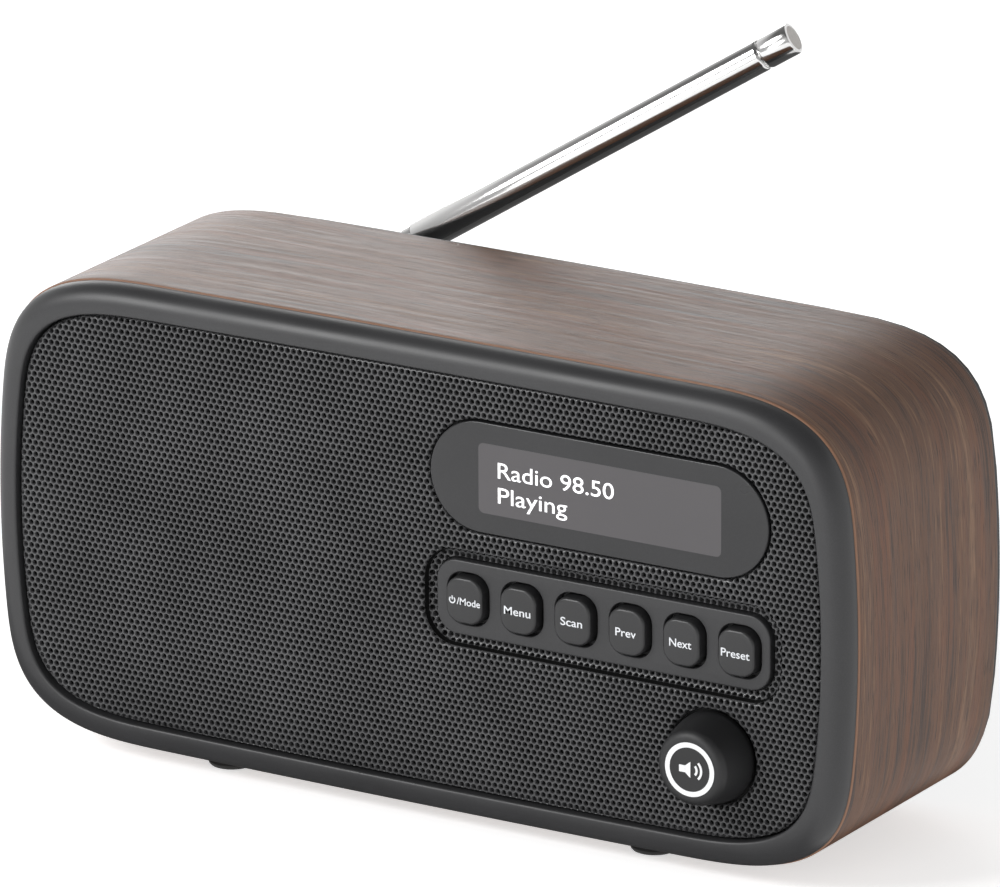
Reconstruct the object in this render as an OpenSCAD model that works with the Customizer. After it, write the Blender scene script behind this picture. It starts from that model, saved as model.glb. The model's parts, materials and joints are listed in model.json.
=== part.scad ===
/* [Cabinet] */
// Width of the cabinet at the middle of its sides
cab_w = 213; // [200:1:226]
// Height of the cabinet at the middle of its top, without the feet
cab_h = 105.4; // [100:0.2:110]
// Distance from the front of the grille back to the rear face
cab_depth = 65; // [63:0.5:75]
// Outward bow of each short side
side_bow = 4.8; // [2:0.1:6]
// Outward bow of the top and of the bottom
top_bow = 0.6; // [0.2:0.1:1.2]
// Reach of a corner along the top
corner_x = 39; // [32:0.5:42]
// Reach of a corner down the side
corner_z = 29; // [26:0.5:31]
// Fullness of the corner curve, where 2 is a plain quarter ellipse
corner_power = 3.4; // [2.6:0.1:3.8]

/* [Front] */
// Width of the bezel band around the grille
bezel_w = 6.4; // [6:0.1:8]
// How far the bezel's ridge stands in front of the grille
bezel_proud = 1.2; // [1.2:0.05:2.4]
// Distance from the grille's front back to the veneer's front edge
veneer_front = 4.1; // [3.8:0.1:4.6]
// Width of the display window
display_w = 82.5; // [78:0.5:84]
// Height of the display window
display_h = 24.5; // [22:0.5:26]

/* [Buttons] */
// Width of the button panel
panel_w = 81.6; // [80:0.2:84]
// Height of the button panel
panel_h = 16.6; // [16:0.2:18]
// Distance between neighbouring buttons
button_pitch = 13.3; // [12.8:0.1:13.4]
// Width of a button
button_w = 9.3; // [8.6:0.1:9.6]
// Height of a button
button_h = 10.6; // [10:0.1:11]
// How far a button stands out of its panel
button_proud = 2; // [1.5:0.1:2.4]

/* [Knob] */
// Radius of the knob where it passes the grille
knob_r = 9.9; // [9:0.1:10.2]
// Radius of the knob near its front
knob_front_r = 8.4; // [7.6:0.1:8.8]
// How far the knob's face stands in front of the grille
knob_proud = 9.1; // [8:0.1:10]

/* [Feet] */
// Height of a rubber foot below the cabinet
foot_h = 2.4; // [1.6:0.1:3]
// Radius of a rubber foot
foot_r = 5.2; // [4.5:0.1:6]

/* [Antenna] */
// Outer diameter of the antenna's outer tube
antenna_d = 7.2; // [7:0.1:7.6]
// Distance from the antenna's elbow to its tip when it is pushed in
antenna_len = 105.4; // [100:0.2:110]
// Angle of the stored antenna above the table
antenna_rise = 32.6; // [20:0.1:40]
// Angle by which the stored antenna leans back from the cabinet
antenna_lean = 13.5; // [8:0.5:18]

/* [Hidden] */
$fn = 64;

// Heights and depths shared by several pieces
cab_mid = foot_h + cab_h / 2;
veneer_t = 0.6;
shell_inner = 5;
cover_t = 2;
cover_front = cab_depth - cover_t;
cover_inset = 0.7;
baffle_t = 3;
baffle_back = veneer_front + baffle_t;
grille_t = 0.8;
grille_inset = bezel_w + 0.5;
flange_t = 0.8;
side_steps = 4;
corner_steps = 10;

// Places of the controls, measured from the middle of the cabinet
display_x = 45.8;
display_z = cab_mid + 24.5;
panel_x = 46.2;
panel_z = cab_mid - 3.4;
panel_front = 0.8;
panel_t = 2.2;
panel_back = panel_front + panel_t;
panel_corner = 5;
trough_w = panel_w + 5.4;
trough_h = panel_h + 4.8;
trough_depth = 2;
trough_gap = 0.4;
knob_x = 73.4;
knob_z = cab_mid - 27.7;
knob_hole_r = knob_r + 0.7;
board_front = 13.6;
board_t = 1.6;
board_back = board_front + board_t;

// Buttons and switches
button_gap = 0.3;
button_corner = 3.2;
button_front = panel_front - button_proud;
lip_front = panel_back + 0.3;
lip_back = lip_front + 1;
lip_grow = 1;
stem_r = 1.5;
stem_back = 8.9;
switch_front = 10.1;
switch_tip = 9.8;

// Dial
shaft_r = 3;
run_gap = 0.1;
bushing_r = 3.5;
knob_back = 1.2;
nut_front = 2.1;
encoder_back = board_front;
carrier_r = 4.4;

// Loudspeaker, centred on its own axis
speaker_x = -50;
speaker_z = cab_mid;
speaker_r = 41.5;
cone_r = 30;
flange_y = baffle_back + 1;
basket_back = 27.5;
magnet_r = 22.5;
pole_r = 9;
gap_r = 10.6;
top_plate_back = 30;
magnet_back = 40;
yoke_back = 42.5;
screw_ring_r = 39;
speaker_screw_r = 1.3;
surround_r = 2.6;
frame_bore_r = cone_r + 2 * surround_r;

// Rear board and battery bay
rear_board_y = 46.4;
rear_board_back = rear_board_y + board_t;
jack_z = 22;
dc_x = 30;
phone_x = 52;
cell_r = 7.1;
cell_len = 49.2;
cell_pitch = 15.2;
bay_w = 61;
bay_h = 4 * cell_pitch + 1;
bay_x = speaker_x;
bay_z = 17;
bay_wall = 1.4;
bay_front = 44;
door_gap = 0.3;
door_round = cover_t / 2;
peg_r = 0.6;
peg_len = 2;

// Antenna
pivot_x = -49;
pivot_y = cab_depth + 6;
pivot_z = cab_mid + 44.7;
post_r = 3;
keeper_r = 4.6;
tube_r = antenna_d / 2;
tube_wall = 0.4;
tube_step = tube_wall + run_gap;
tube_start = 7;
tip_len = 7.4;
tip_gap = 0.6;
tube_end = antenna_len - tip_len - tip_gap;
tongue_t = 2.8;
ear_t = 1.8;
ear_gap = 0.15;
elbow_r = 3.5;
elbow_pin_r = 1.2;
lean_dir_y = sin(antenna_lean);
tip_reach = pivot_y + antenna_len * lean_dir_y + tube_r * cos(antenna_lean);

// The row's origin is under the middle of the whole length from knob face to antenna tip
origin_y = (tip_reach - knob_proud) / 2;

// Outline of the cabinet, drawn in from its outer face by an inset
function half_w(inset) = cab_w / 2 - side_bow - inset;
function half_h(inset) = cab_h / 2 - top_bow - inset;
function reach_x(inset) = max(corner_x - inset, 4);
function reach_z(inset) = max(corner_z - inset, 4);
function corner_point(inset, t) = [
  half_w(inset) - reach_x(inset) * (1 - pow(cos(t), 2 / corner_power)),
  half_h(inset) - reach_z(inset) * (1 - pow(sin(t), 2 / corner_power))
];
function quarter(inset) = concat(
  [for (i = [0:side_steps - 1]) [half_w(inset), (half_h(inset) - reach_z(inset)) * i / side_steps]],
  [for (i = [0:corner_steps]) corner_point(inset, 90 * i / corner_steps)],
  [for (i = [1:side_steps - 1]) [(half_w(inset) - reach_x(inset)) * (1 - i / side_steps), half_h(inset)]]
);
function bowed(p, inset) = [
  p.x + side_bow * (1 - pow(p.y / half_h(inset), 2)) * p.x / half_w(inset),
  p.y + top_bow * (1 - pow(p.x / half_w(inset), 2)) * p.y / half_h(inset)
];
function flipped(points, sx, sy) = [for (p = points) [p.x * sx, p.y * sy]];
function backwards(points) = [for (i = [len(points) - 1:-1:0]) points[i]];
function rest_of(points) = [for (i = [1:len(points) - 1]) points[i]];
function outline(inset) =
  let (q = [for (p = quarter(inset)) bowed(p, inset)])
  let (top = [[0, cab_h / 2 - inset]])
  let (right_half = concat(backwards(flipped(rest_of(q), 1, -1)), q))
  concat(
    flipped(top, 1, -1), right_half,
    top, backwards(flipped(right_half, -1, 1))
  );

// Shape drawn in the X-Z plane and given thickness from y0 back to y1
module wall(y0, y1) {
  translate([0, y1, 0]) rotate([90, 0, 0]) linear_extrude(y1 - y0) children();
}
module cabinet_face(inset) {
  translate([0, cab_mid]) polygon(outline(inset));
}
module rod_y(x, z, r, y0, y1) {
  translate([x, y0, z]) rotate([-90, 0, 0]) cylinder(r = r, h = y1 - y0);
}
module spin_y(x, z) {
  translate([x, 0, z]) rotate([-90, 0, 0]) rotate_extrude() children();
}
module box_y(x, z, w, h, y0, y1) {
  translate([x - w / 2, y0, z - h / 2]) cube([w, y1 - y0, h]);
}
module round_rect(x, z, w, h, r) {
  for (sx = [-1, 1]) for (sz = [-1, 1])
    translate([x + sx * (w / 2 - r), z + sz * (h / 2 - r)]) circle(r = r);
  translate([x - w / 2 + r, z - h / 2]) square([w - 2 * r, h]);
  translate([x - w / 2, z - h / 2 + r]) square([w, h - 2 * r]);
}
module pill(x, z, w, h) {
  translate([x - w / 2 + h / 2, z]) circle(d = h);
  translate([x + w / 2 - h / 2, z]) circle(d = h);
  translate([x - w / 2 + h / 2, z - h / 2]) square([w - h, h]);
}
// Everything is drawn from the grille's front, then moved to the origin
module placed() {
  translate([0, -origin_y, 0]) children();
}

// Cabinet
cover_screws = [[-72, 46], [72, 46], [-72, -46], [72, -46], [-99, 0], [99, 0], [0, 46.6], [0, -46.6]];
cover_boss_r = 3.6;
cover_boss_len = 12;
screw_r = 1.2;
foot_sink = 1;
foot_places = [[-53, 10.9], [53, 10.9], [-53, 54], [53, 54]];
module foot_pockets() {
  for (p = foot_places) translate([p.x, p.y, 0]) cylinder(r = foot_r, h = foot_h + foot_sink);
}
module cabinet_shell() {
  color("#3b322c") placed() difference() {
    union() {
      wall(veneer_front, cover_front) difference() {
        cabinet_face(veneer_t);
        cabinet_face(shell_inner);
      }
      intersection() {
        for (p = cover_screws)
          rod_y(p.x, cab_mid + p.y, cover_boss_r, cover_front - cover_boss_len, cover_front);
        wall(veneer_front, cover_front) cabinet_face(veneer_t + 1);
      }
    }
    for (p = cover_screws)
      rod_y(p.x, cab_mid + p.y, screw_r, cover_front - cover_boss_len + 2, cover_front + 1);
    rod_y(pivot_x, pivot_z, keeper_r + 0.5, cover_front - 3, cover_front + 1);
    foot_pockets();
  }
}
module veneer_wrap() {
  color("#6b5446") placed() difference() {
    wall(veneer_front, cover_front) difference() {
      cabinet_face(0);
      cabinet_face(veneer_t);
    }
    foot_pockets();
  }
}

// Bezel: a rounded bar carried once round the outline
roll_steps = 5;
roll_w = 5.2;
lip_w = 0.6;
function roll_point(t) = [
  roll_w * (1 - cos(t)),
  veneer_front - (veneer_front + bezel_proud) * sin(t)
];
bezel_section = concat(
  [for (i = [0:roll_steps]) roll_point(90 * i / roll_steps)],
  [[bezel_w - lip_w, -bezel_proud + 0.15], [bezel_w, -bezel_proud + 0.8], [bezel_w, veneer_front]]
);
function ring_points(section) = [
  for (s = section) for (p = outline(s.x)) [p.x, s.y, p.y + cab_mid]
];
function ring_faces(around, across) = [
  for (j = [0:across - 1]) for (i = [0:around - 1])
    let (a = j * around + i)
    let (b = j * around + (i + 1) % around)
    let (c = ((j + 1) % across) * around + (i + 1) % around)
    let (d = ((j + 1) % across) * around + i)
    for (f = [[a, b, c], [a, c, d]]) f
];
module front_bezel() {
  color("#454547") placed() polyhedron(
    points = ring_points(bezel_section),
    faces = ring_faces(len(outline(0)), len(bezel_section))
  );
}

// Baffle behind the grille, with posts for the control board
baffle_inset = shell_inner;
board_x = 49;
board_z = cab_mid - 12;
board_w = 94;
board_h = 48;
post_places = [[5.5, 63.5], [5.5, 23], [92.5, 63.5], [60, 23]];
post_outer_r = 2.8;
module baffle_openings() {
  translate([speaker_x, speaker_z]) circle(r = frame_bore_r - 0.2);
  round_rect(panel_x, panel_z, panel_w - 2, panel_h - 2, 2);
  translate([display_x + 34, display_z - 6]) square([5, 12]);
  translate([knob_x, knob_z]) circle(r = bushing_r);
  for (p = speaker_screw_places()) translate([speaker_x + p.x, speaker_z + p.y]) circle(r = speaker_screw_r);
}
module front_baffle() {
  color("#262626") placed() difference() {
    union() {
      wall(veneer_front, baffle_back) difference() {
        cabinet_face(baffle_inset);
        baffle_openings();
      }
      for (p = post_places) rod_y(p.x, p.y, post_outer_r, baffle_back, board_front);
    }
    for (p = post_places) rod_y(p.x, p.y, 1, baffle_back + 1, board_front + 1);
  }
}

// Grille sheet with a sunk trough round the button panel and a return edge at its rim
module trough_solid(w_top, h_top, w_low, h_low, y0, y1) {
  hull() {
    wall(y0, y0 + 0.01) round_rect(panel_x, panel_z, w_top, h_top, panel_corner + 2.4, $fn = 32);
    wall(y1 - 0.01, y1) round_rect(panel_x, panel_z, w_low, h_low, panel_corner + 0.4, $fn = 32);
  }
}
module speaker_grille() {
  low_w = panel_w + 2 * trough_gap;
  low_h = panel_h + 2 * trough_gap;
  color("#5c5c5e") placed() {
    wall(0, grille_t) difference() {
      cabinet_face(grille_inset);
      pill(display_x, display_z, display_w + 0.8, display_h + 0.8);
      round_rect(panel_x, panel_z, trough_w, trough_h, panel_corner + 2.4);
      translate([knob_x, knob_z]) circle(r = knob_hole_r);
    }
    wall(grille_t, veneer_front) difference() {
      cabinet_face(grille_inset);
      cabinet_face(grille_inset + flange_t);
    }
    difference() {
      trough_solid(trough_w + 0.4, trough_h + 0.4, low_w + 1.2, low_h + 1.2, 0, trough_depth + 0.6);
      trough_solid(trough_w - 0.8, trough_h - 0.8, low_w, low_h, -0.02, trough_depth + 0.62);
    }
  }
}
module grille_scrim() {
  color("#101010") placed() wall(3.1, 3.6) difference() {
    cabinet_face(grille_inset + flange_t + 1);
    round_rect(panel_x, panel_z, trough_w + 2, trough_h + 2, panel_corner);
    pill(display_x, display_z, display_w + 2, display_h + 2);
    translate([knob_x, knob_z]) circle(r = knob_hole_r);
  }
}

// Display
lens_front = -0.1;
lens_back = 1.9;
oled_w = 66;
oled_h = 19;
oled_t = 1.8;
module display_lens() {
  color("#4b4b4c") placed() wall(lens_front, lens_back) pill(display_x, display_z, display_w, display_h);
}
module display_panel() {
  color("#6a686b") placed() box_y(display_x, display_z, oled_w, oled_h, lens_back, lens_back + oled_t);
}
module display_holder() {
  color("#1d1d1f") placed() wall(lens_back, veneer_front) difference() {
    pill(display_x, display_z, display_w - 1, display_h - 1);
    translate([display_x - oled_w / 2 - 0.1, display_z - oled_h / 2 - 0.1])
      square([oled_w + 0.2, oled_h + 0.2]);
    translate([display_x + oled_w / 2 - 1, display_z - 5]) square([5.5, 10]);
  }
}
module display_ribbon() {
  ribbon_x = display_x + oled_w / 2 + 3.2;
  ribbon_t = 0.3;
  color("#b06a2c") placed() {
    box_y(display_x + oled_w / 2 + 1.75, display_z, 3.3, 8, lens_back + 0.6, lens_back + 0.6 + ribbon_t);
    box_y(ribbon_x, display_z, ribbon_t, 8, lens_back + 0.6, 12);
    translate([ribbon_x - ribbon_t / 2, 12 - ribbon_t, display_z - 16]) cube([ribbon_t, ribbon_t, 20]);
    translate([ribbon_x - ribbon_t / 2, 12 - ribbon_t, display_z - 16]) cube([ribbon_t, 1.9, 4]);
  }
}

// Button panel and its six buttons
function button_x(i) = panel_x + 0.3 + (i - 2.5) * button_pitch;
module button_panel() {
  color("#434345") placed() wall(panel_front, panel_back) difference() {
    round_rect(panel_x, panel_z, panel_w, panel_h, panel_corner);
    for (i = [0:5])
      round_rect(button_x(i), panel_z, button_w + 2 * button_gap, button_h + 2 * button_gap,
        button_corner + button_gap);
  }
}
module button(i) {
  color("#3d3d3f") placed() {
    wall(button_front, lip_front) round_rect(button_x(i), panel_z, button_w, button_h, button_corner);
    wall(lip_front, lip_back)
      round_rect(button_x(i), panel_z, button_w + 2 * lip_grow, button_h + 2 * lip_grow, button_corner);
    rod_y(button_x(i), panel_z, stem_r, lip_back, stem_back);
  }
}
module button_power() { button(0); }
module button_menu() { button(1); }
module button_scan() { button(2); }
module button_prev() { button(3); }
module button_next() { button(4); }
module button_preset() { button(5); }
module keypad_board() {
  color("#1f5a38") placed() difference() {
    box_y(board_x, board_z, board_w, board_h, board_front, board_back);
    for (p = post_places) rod_y(p.x, p.y, 1, board_front - 1, board_back + 1);
  }
}
module tact_switches() {
  color("#2b2b2d") placed() for (i = [0:5]) {
    box_y(button_x(i), panel_z, 6, 6, switch_front, board_front);
    rod_y(button_x(i), panel_z, 1.7, switch_tip, switch_front);
  }
}
module board_screws() {
  color("#b9bbbe") placed() for (p = post_places) {
    rod_y(p.x, p.y, 1, baffle_back + 2, board_back);
    rod_y(p.x, p.y, 2, board_back, board_back + 1.5);
  }
  color("#b9bbbe") placed() for (p = main_posts) {
    rod_y(p.x, p.y, 1, rear_board_y, rear_board_back + 6);
    rod_y(p.x, p.y, 2, rear_board_y - 1.5, rear_board_y);
  }
}

// Rotary push encoder and its knob
module encoder_body() {
  color("#8f9296") placed() difference() {
    union() {
      box_y(knob_x, knob_z, 12.4, 13.2, baffle_back, encoder_back);
      rod_y(knob_x, knob_z, bushing_r, nut_front - 0.3, baffle_back);
    }
    rod_y(knob_x, knob_z, shaft_r + run_gap, 0, 12.9);
    rod_y(knob_x, knob_z, carrier_r + run_gap, 9, 12.9);
  }
}
module encoder_nut() {
  color("#c9ccd0") placed() difference() {
    translate([knob_x, nut_front, knob_z]) rotate([-90, 0, 0])
      cylinder(r = 5.6, h = veneer_front - nut_front, $fn = 6);
    rod_y(knob_x, knob_z, bushing_r, nut_front - 1, veneer_front + 1);
  }
}
module encoder_carrier() {
  color("#d9d9d4") placed() difference() {
    rod_y(knob_x, knob_z, carrier_r, 9.5, 11.2);
    rod_y(knob_x, knob_z, shaft_r + run_gap, 9, 12);
  }
}
module encoder_shaft() {
  color("#c9ccd0") placed() rod_y(knob_x, knob_z, shaft_r, -5.5, 12);
}
module volume_knob() {
  face = -knob_proud;
  edge_r = 1.6;
  color("#343436") placed() difference() {
    spin_y(knob_x, knob_z) difference() {
      union() {
        polygon([[0, face], [knob_front_r - edge_r, face], [knob_front_r, face + edge_r],
          [knob_r, -0.4], [knob_r, knob_back], [0, knob_back]]);
        intersection() {
          translate([knob_front_r - edge_r, face + edge_r]) circle(r = edge_r);
          translate([0, face]) square([knob_r, edge_r]);
        }
      }
      polygon([[shaft_r + 2, knob_back - 4], [knob_r - 1.8, knob_back - 3],
        [knob_r - 1.4, knob_back + 1], [shaft_r + 2, knob_back + 1]]);
      polygon([[shaft_r + 2, knob_back - 1], [0, knob_back - 1], [0, knob_back + 1],
        [shaft_r + 2, knob_back + 1]]);
    }
    rod_y(knob_x, knob_z, shaft_r, -5.5, knob_back + 1);
  }
}

// Main board with what stands on it, fixed to posts on the rear cover
main_x = 52;
main_z = cab_mid - 2;
main_w = 84;
main_h = 78;
main_posts = [[14, 88], [14, 19], [90, 88], [90, 19]];
cap_places = [[22, 40], [33, 40], [22, 28], [33, 28]];
module main_board() {
  color("#1f5a38") placed() difference() {
    box_y(main_x, main_z, main_w, main_h, rear_board_y, rear_board_back);
    for (p = main_posts) rod_y(p.x, p.y, 1, rear_board_y - 1, rear_board_back + 1);
  }
}
module tuner_module() {
  color("#c3c6ca") placed() difference() {
    box_y(64, 74, 38, 28, rear_board_y - 4.5, rear_board_y);
    box_y(64, 74, 36.8, 26.8, rear_board_y - 3.9, rear_board_y + 1);
  }
}
module amplifier_chip() {
  color("#1b1b1c") placed() {
    box_y(60, 40, 10, 10, rear_board_y - 1.4, rear_board_y);
    for (i = [-4:4]) for (s = [-1, 1])
      translate([60 + i - 0.2, rear_board_y - 0.3, 40 + s * 6 - 1]) cube([0.4, 0.3, 2]);
  }
}
module capacitors() {
  color("#2c3e66") placed() for (p = cap_places) rod_y(p.x, p.y, 4, rear_board_y - 12, rear_board_y);
}
module board_connectors() {
  color("#e8e2cf") placed() for (x = [74, 86]) difference() {
    box_y(x, 34, 8, 6, rear_board_y - 7, rear_board_y);
    box_y(x, 34, 6.6, 4.6, rear_board_y - 8, rear_board_y - 1.5);
  }
}
dc_r = 3.2;
dc_pin_r = 1;
phone_r = 1.8;
nose_r = 4;
dc_depth = 10;
phone_depth = 14.5;
module dc_jack() {
  color("#202022") placed() {
    difference() {
      union() {
        box_y(dc_x, jack_z, 9.5, 10.5, rear_board_back, cover_front);
        rod_y(dc_x, jack_z, nose_r, cover_front, cab_depth);
      }
      rod_y(dc_x, jack_z, dc_r, cab_depth - dc_depth, cab_depth + 1);
    }
    rod_y(dc_x, jack_z, dc_pin_r, cab_depth - dc_depth - 0.5, cab_depth - 1.5);
  }
}
module headphone_jack() {
  color("#202022") placed() difference() {
    union() {
      box_y(phone_x, jack_z, 8.5, 10.5, rear_board_back, cover_front);
      rod_y(phone_x, jack_z, nose_r, cover_front, cab_depth);
    }
    rod_y(phone_x, jack_z, phone_r, cab_depth - phone_depth, cab_depth + 1);
  }
}

// Loudspeaker
function speaker_screw_places() = [for (a = [45:90:315]) [screw_ring_r * cos(a), screw_ring_r * sin(a)]];
module speaker_frame() {
  color("#2a2a2c") placed() difference() {
    spin_y(speaker_x, speaker_z) polygon([
      [frame_bore_r, flange_y], [speaker_r, flange_y], [speaker_r, flange_y + 1.4],
      [frame_bore_r + 1.4, flange_y + 1.4], [magnet_r + 1, basket_back], [gap_r + 2, basket_back],
      [gap_r + 2, basket_back - 1.2], [magnet_r + 0.2, basket_back - 1.2], [frame_bore_r, flange_y + 1.4]
    ]);
    for (a = [0:90:270]) translate([speaker_x, 18.5, speaker_z]) rotate([0, a, 0])
      translate([-9, -6, 18]) cube([18, 12, 24]);
    for (p = speaker_screw_places())
      rod_y(speaker_x + p.x, speaker_z + p.y, speaker_screw_r, flange_y - 1, flange_y + 3);
  }
}
module speaker_magnet() {
  color("#3a3a3d") placed() spin_y(speaker_x, speaker_z)
    translate([pole_r + 3, top_plate_back]) square([magnet_r - pole_r - 3, magnet_back - top_plate_back]);
}
module speaker_top_plate() {
  color("#b6b9bd") placed() spin_y(speaker_x, speaker_z)
    translate([gap_r, basket_back]) square([magnet_r - 0.5 - gap_r, top_plate_back - basket_back]);
}
module speaker_back_plate() {
  color("#b6b9bd") placed() spin_y(speaker_x, speaker_z) polygon([
    [0, basket_back], [pole_r, basket_back], [pole_r, magnet_back], [magnet_r - 0.5, magnet_back],
    [magnet_r - 0.5, yoke_back], [0, yoke_back]
  ]);
}
module speaker_coil() {
  color("#b8742e") placed() spin_y(speaker_x, speaker_z)
    translate([pole_r + 0.5, 17.2]) square([0.6, 15.2]);
}
module speaker_spider() {
  color("#c99a4a") placed() spin_y(speaker_x, speaker_z) difference() {
    union() for (i = [0:2]) translate([12.6 + 4 * i, 20.6]) circle(r = 2.3, $fn = 40);
    union() for (i = [0:2]) translate([12.6 + 4 * i, 20.6]) circle(r = 1.9, $fn = 40);
    translate([0, 20.6]) square([40, 4]);
  }
}
module speaker_cone() {
  color("#1c1c1d") placed() spin_y(speaker_x, speaker_z) polygon([
    [pole_r + 1.1, 16.6], [pole_r + 0.5, 16.6], [pole_r + 0.5, 17.2], [pole_r + 1.4, 17.2],
    [cone_r, 9.7], [cone_r, 9.1]
  ]);
}
module speaker_surround() {
  color("#111111") placed() spin_y(speaker_x, speaker_z) difference() {
    translate([cone_r + surround_r, 9.4]) circle(r = surround_r);
    translate([cone_r + surround_r, 9.4]) circle(r = surround_r - 0.5);
    translate([cone_r - 1, 9.4]) square([8, 4]);
  }
}
module speaker_dust_cap() {
  color("#1c1c1d") placed() spin_y(speaker_x, speaker_z) intersection() {
    difference() {
      translate([0, 26]) circle(r = 14);
      translate([0, 26]) circle(r = 13.5);
    }
    translate([0, 10]) square([pole_r + 0.5, 7]);
  }
}
module speaker_gasket() {
  color("#191919") placed() difference() {
    spin_y(speaker_x, speaker_z) translate([frame_bore_r - 0.2, baffle_back]) square([speaker_r - frame_bore_r + 0.2, 1]);
    for (p = speaker_screw_places())
      rod_y(speaker_x + p.x, speaker_z + p.y, speaker_screw_r, baffle_back - 1, baffle_back + 2);
  }
}
module speaker_screws() {
  color("#b9bbbe") placed() for (p = speaker_screw_places()) {
    rod_y(speaker_x + p.x, speaker_z + p.y, speaker_screw_r, veneer_front + 0.2, flange_y + 1.4);
    rod_y(speaker_x + p.x, speaker_z + p.y, 1.9, flange_y + 1.4, flange_y + 2.8);
  }
}

// Rear cover, battery bay and battery door
door_w = bay_w - 1;
door_h = bay_h - 1;
door_low = bay_z + 0.5;
door_axis_y = cab_depth - door_round;
door_axis_z = door_low + door_round;
module rear_cover() {
  color("#202021") placed() difference() {
    union() {
      wall(cover_front, cab_depth) cabinet_face(cover_inset);
      for (p = main_posts) rod_y(p.x, p.y, 2.6, rear_board_back, cover_front);
    }
    for (p = cover_screws) {
      rod_y(p.x, cab_mid + p.y, screw_r, cover_front - 1, cab_depth + 1);
      rod_y(p.x, cab_mid + p.y, 2.4, cab_depth - 1.2, cab_depth + 1);
    }
    for (p = main_posts) rod_y(p.x, p.y, 1, rear_board_back - 1, cover_front - 1);
    rod_y(dc_x, jack_z, nose_r, cover_front - 1, cab_depth + 1);
    rod_y(phone_x, jack_z, nose_r, cover_front - 1, cab_depth + 1);
    rod_y(pivot_x, pivot_z, post_r + run_gap, cover_front - 1, cab_depth + 1);
    translate([bay_x - door_w / 2 - door_gap, cover_front - 1, door_low - door_gap])
      cube([door_w + 2 * door_gap, cover_t + 2, door_h + 2 * door_gap]);
    translate([bay_x - door_w / 2 - peg_len - door_gap, door_axis_y, door_axis_z])
      rotate([0, 90, 0]) cylinder(r = peg_r + run_gap, h = door_w + 2 * peg_len + 2 * door_gap);
  }
}
module rear_screws() {
  color("#2e2e30") placed() for (p = cover_screws) difference() {
    union() {
      rod_y(p.x, cab_mid + p.y, screw_r, cover_front - 8, cab_depth - 1.2);
      rod_y(p.x, cab_mid + p.y, 2.4, cab_depth - 1.2, cab_depth - 0.1);
    }
    box_y(p.x, cab_mid + p.y, 2.6, 0.6, cab_depth - 0.8, cab_depth + 1);
    box_y(p.x, cab_mid + p.y, 0.6, 2.6, cab_depth - 0.8, cab_depth + 1);
  }
}
module battery_box() {
  color("#29292b") placed() difference() {
    box_y(bay_x, bay_z + bay_h / 2, bay_w + 2 * bay_wall, bay_h + 2 * bay_wall, bay_front, cover_front);
    box_y(bay_x, bay_z + bay_h / 2, bay_w, bay_h, bay_front + bay_wall, cover_front + 1);
  }
}
function cell_z(i) = bay_z + 0.5 + cell_pitch * (i + 0.5);
cell_y = bay_front + bay_wall + cell_r + 0.4;
module battery_contacts() {
  color("#c3c6ca") placed() for (i = [0:3]) for (s = [-1, 1]) {
    translate([bay_x + s * (bay_w / 2 - 0.2) - 0.2, cell_y - 4, cell_z(i) - 4]) cube([0.4, 8, 8]);
    translate([bay_x + s * (bay_w / 2 - 0.4), cell_y, cell_z(i)]) rotate([0, -s * 90, 0]) difference() {
      cylinder(r1 = 4, r2 = 2.6, h = 4.4);
      translate([0, 0, -1]) cylinder(r = 2, h = 7);
    }
  }
}
module battery_cells() {
  color("#b9652c") placed() for (i = [0:3]) {
    side = i % 2 == 0 ? 1 : -1;
    translate([bay_x - side * cell_len / 2, cell_y, cell_z(i)]) rotate([0, side * 90, 0]) {
      cylinder(r = cell_r, h = cell_len);
      translate([0, 0, cell_len]) cylinder(r = 2.6, h = 1);
    }
  }
}
module battery_door() {
  pull_w = 16;
  color("#202021") placed() difference() {
    union() {
      translate([bay_x - door_w / 2, cover_front, door_axis_z]) cube([door_w, cover_t, door_h - door_round]);
      translate([bay_x - door_w / 2, door_axis_y, door_axis_z]) rotate([0, 90, 0])
        cylinder(r = door_round, h = door_w);
      translate([bay_x - door_w / 2 - peg_len, door_axis_y, door_axis_z]) rotate([0, 90, 0])
        cylinder(r = peg_r, h = door_w + 2 * peg_len);
    }
    translate([bay_x - pull_w / 2, cab_depth - 0.9, door_low + door_h - 5]) cube([pull_w, 2, 3]);
    for (i = [0:2]) translate([bay_x - 8, cab_depth - 0.5, door_low + door_h - 10 - 2 * i]) cube([16, 1, 0.9]);
  }
}
module rubber_feet() {
  color("#181818") placed() for (p = foot_places) translate([p.x, p.y, 0]) {
    translate([0, 0, 0.6]) cylinder(r = foot_r, h = foot_h + foot_sink - 0.6);
    cylinder(r1 = foot_r - 0.6, r2 = foot_r, h = 0.6);
  }
}

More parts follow.
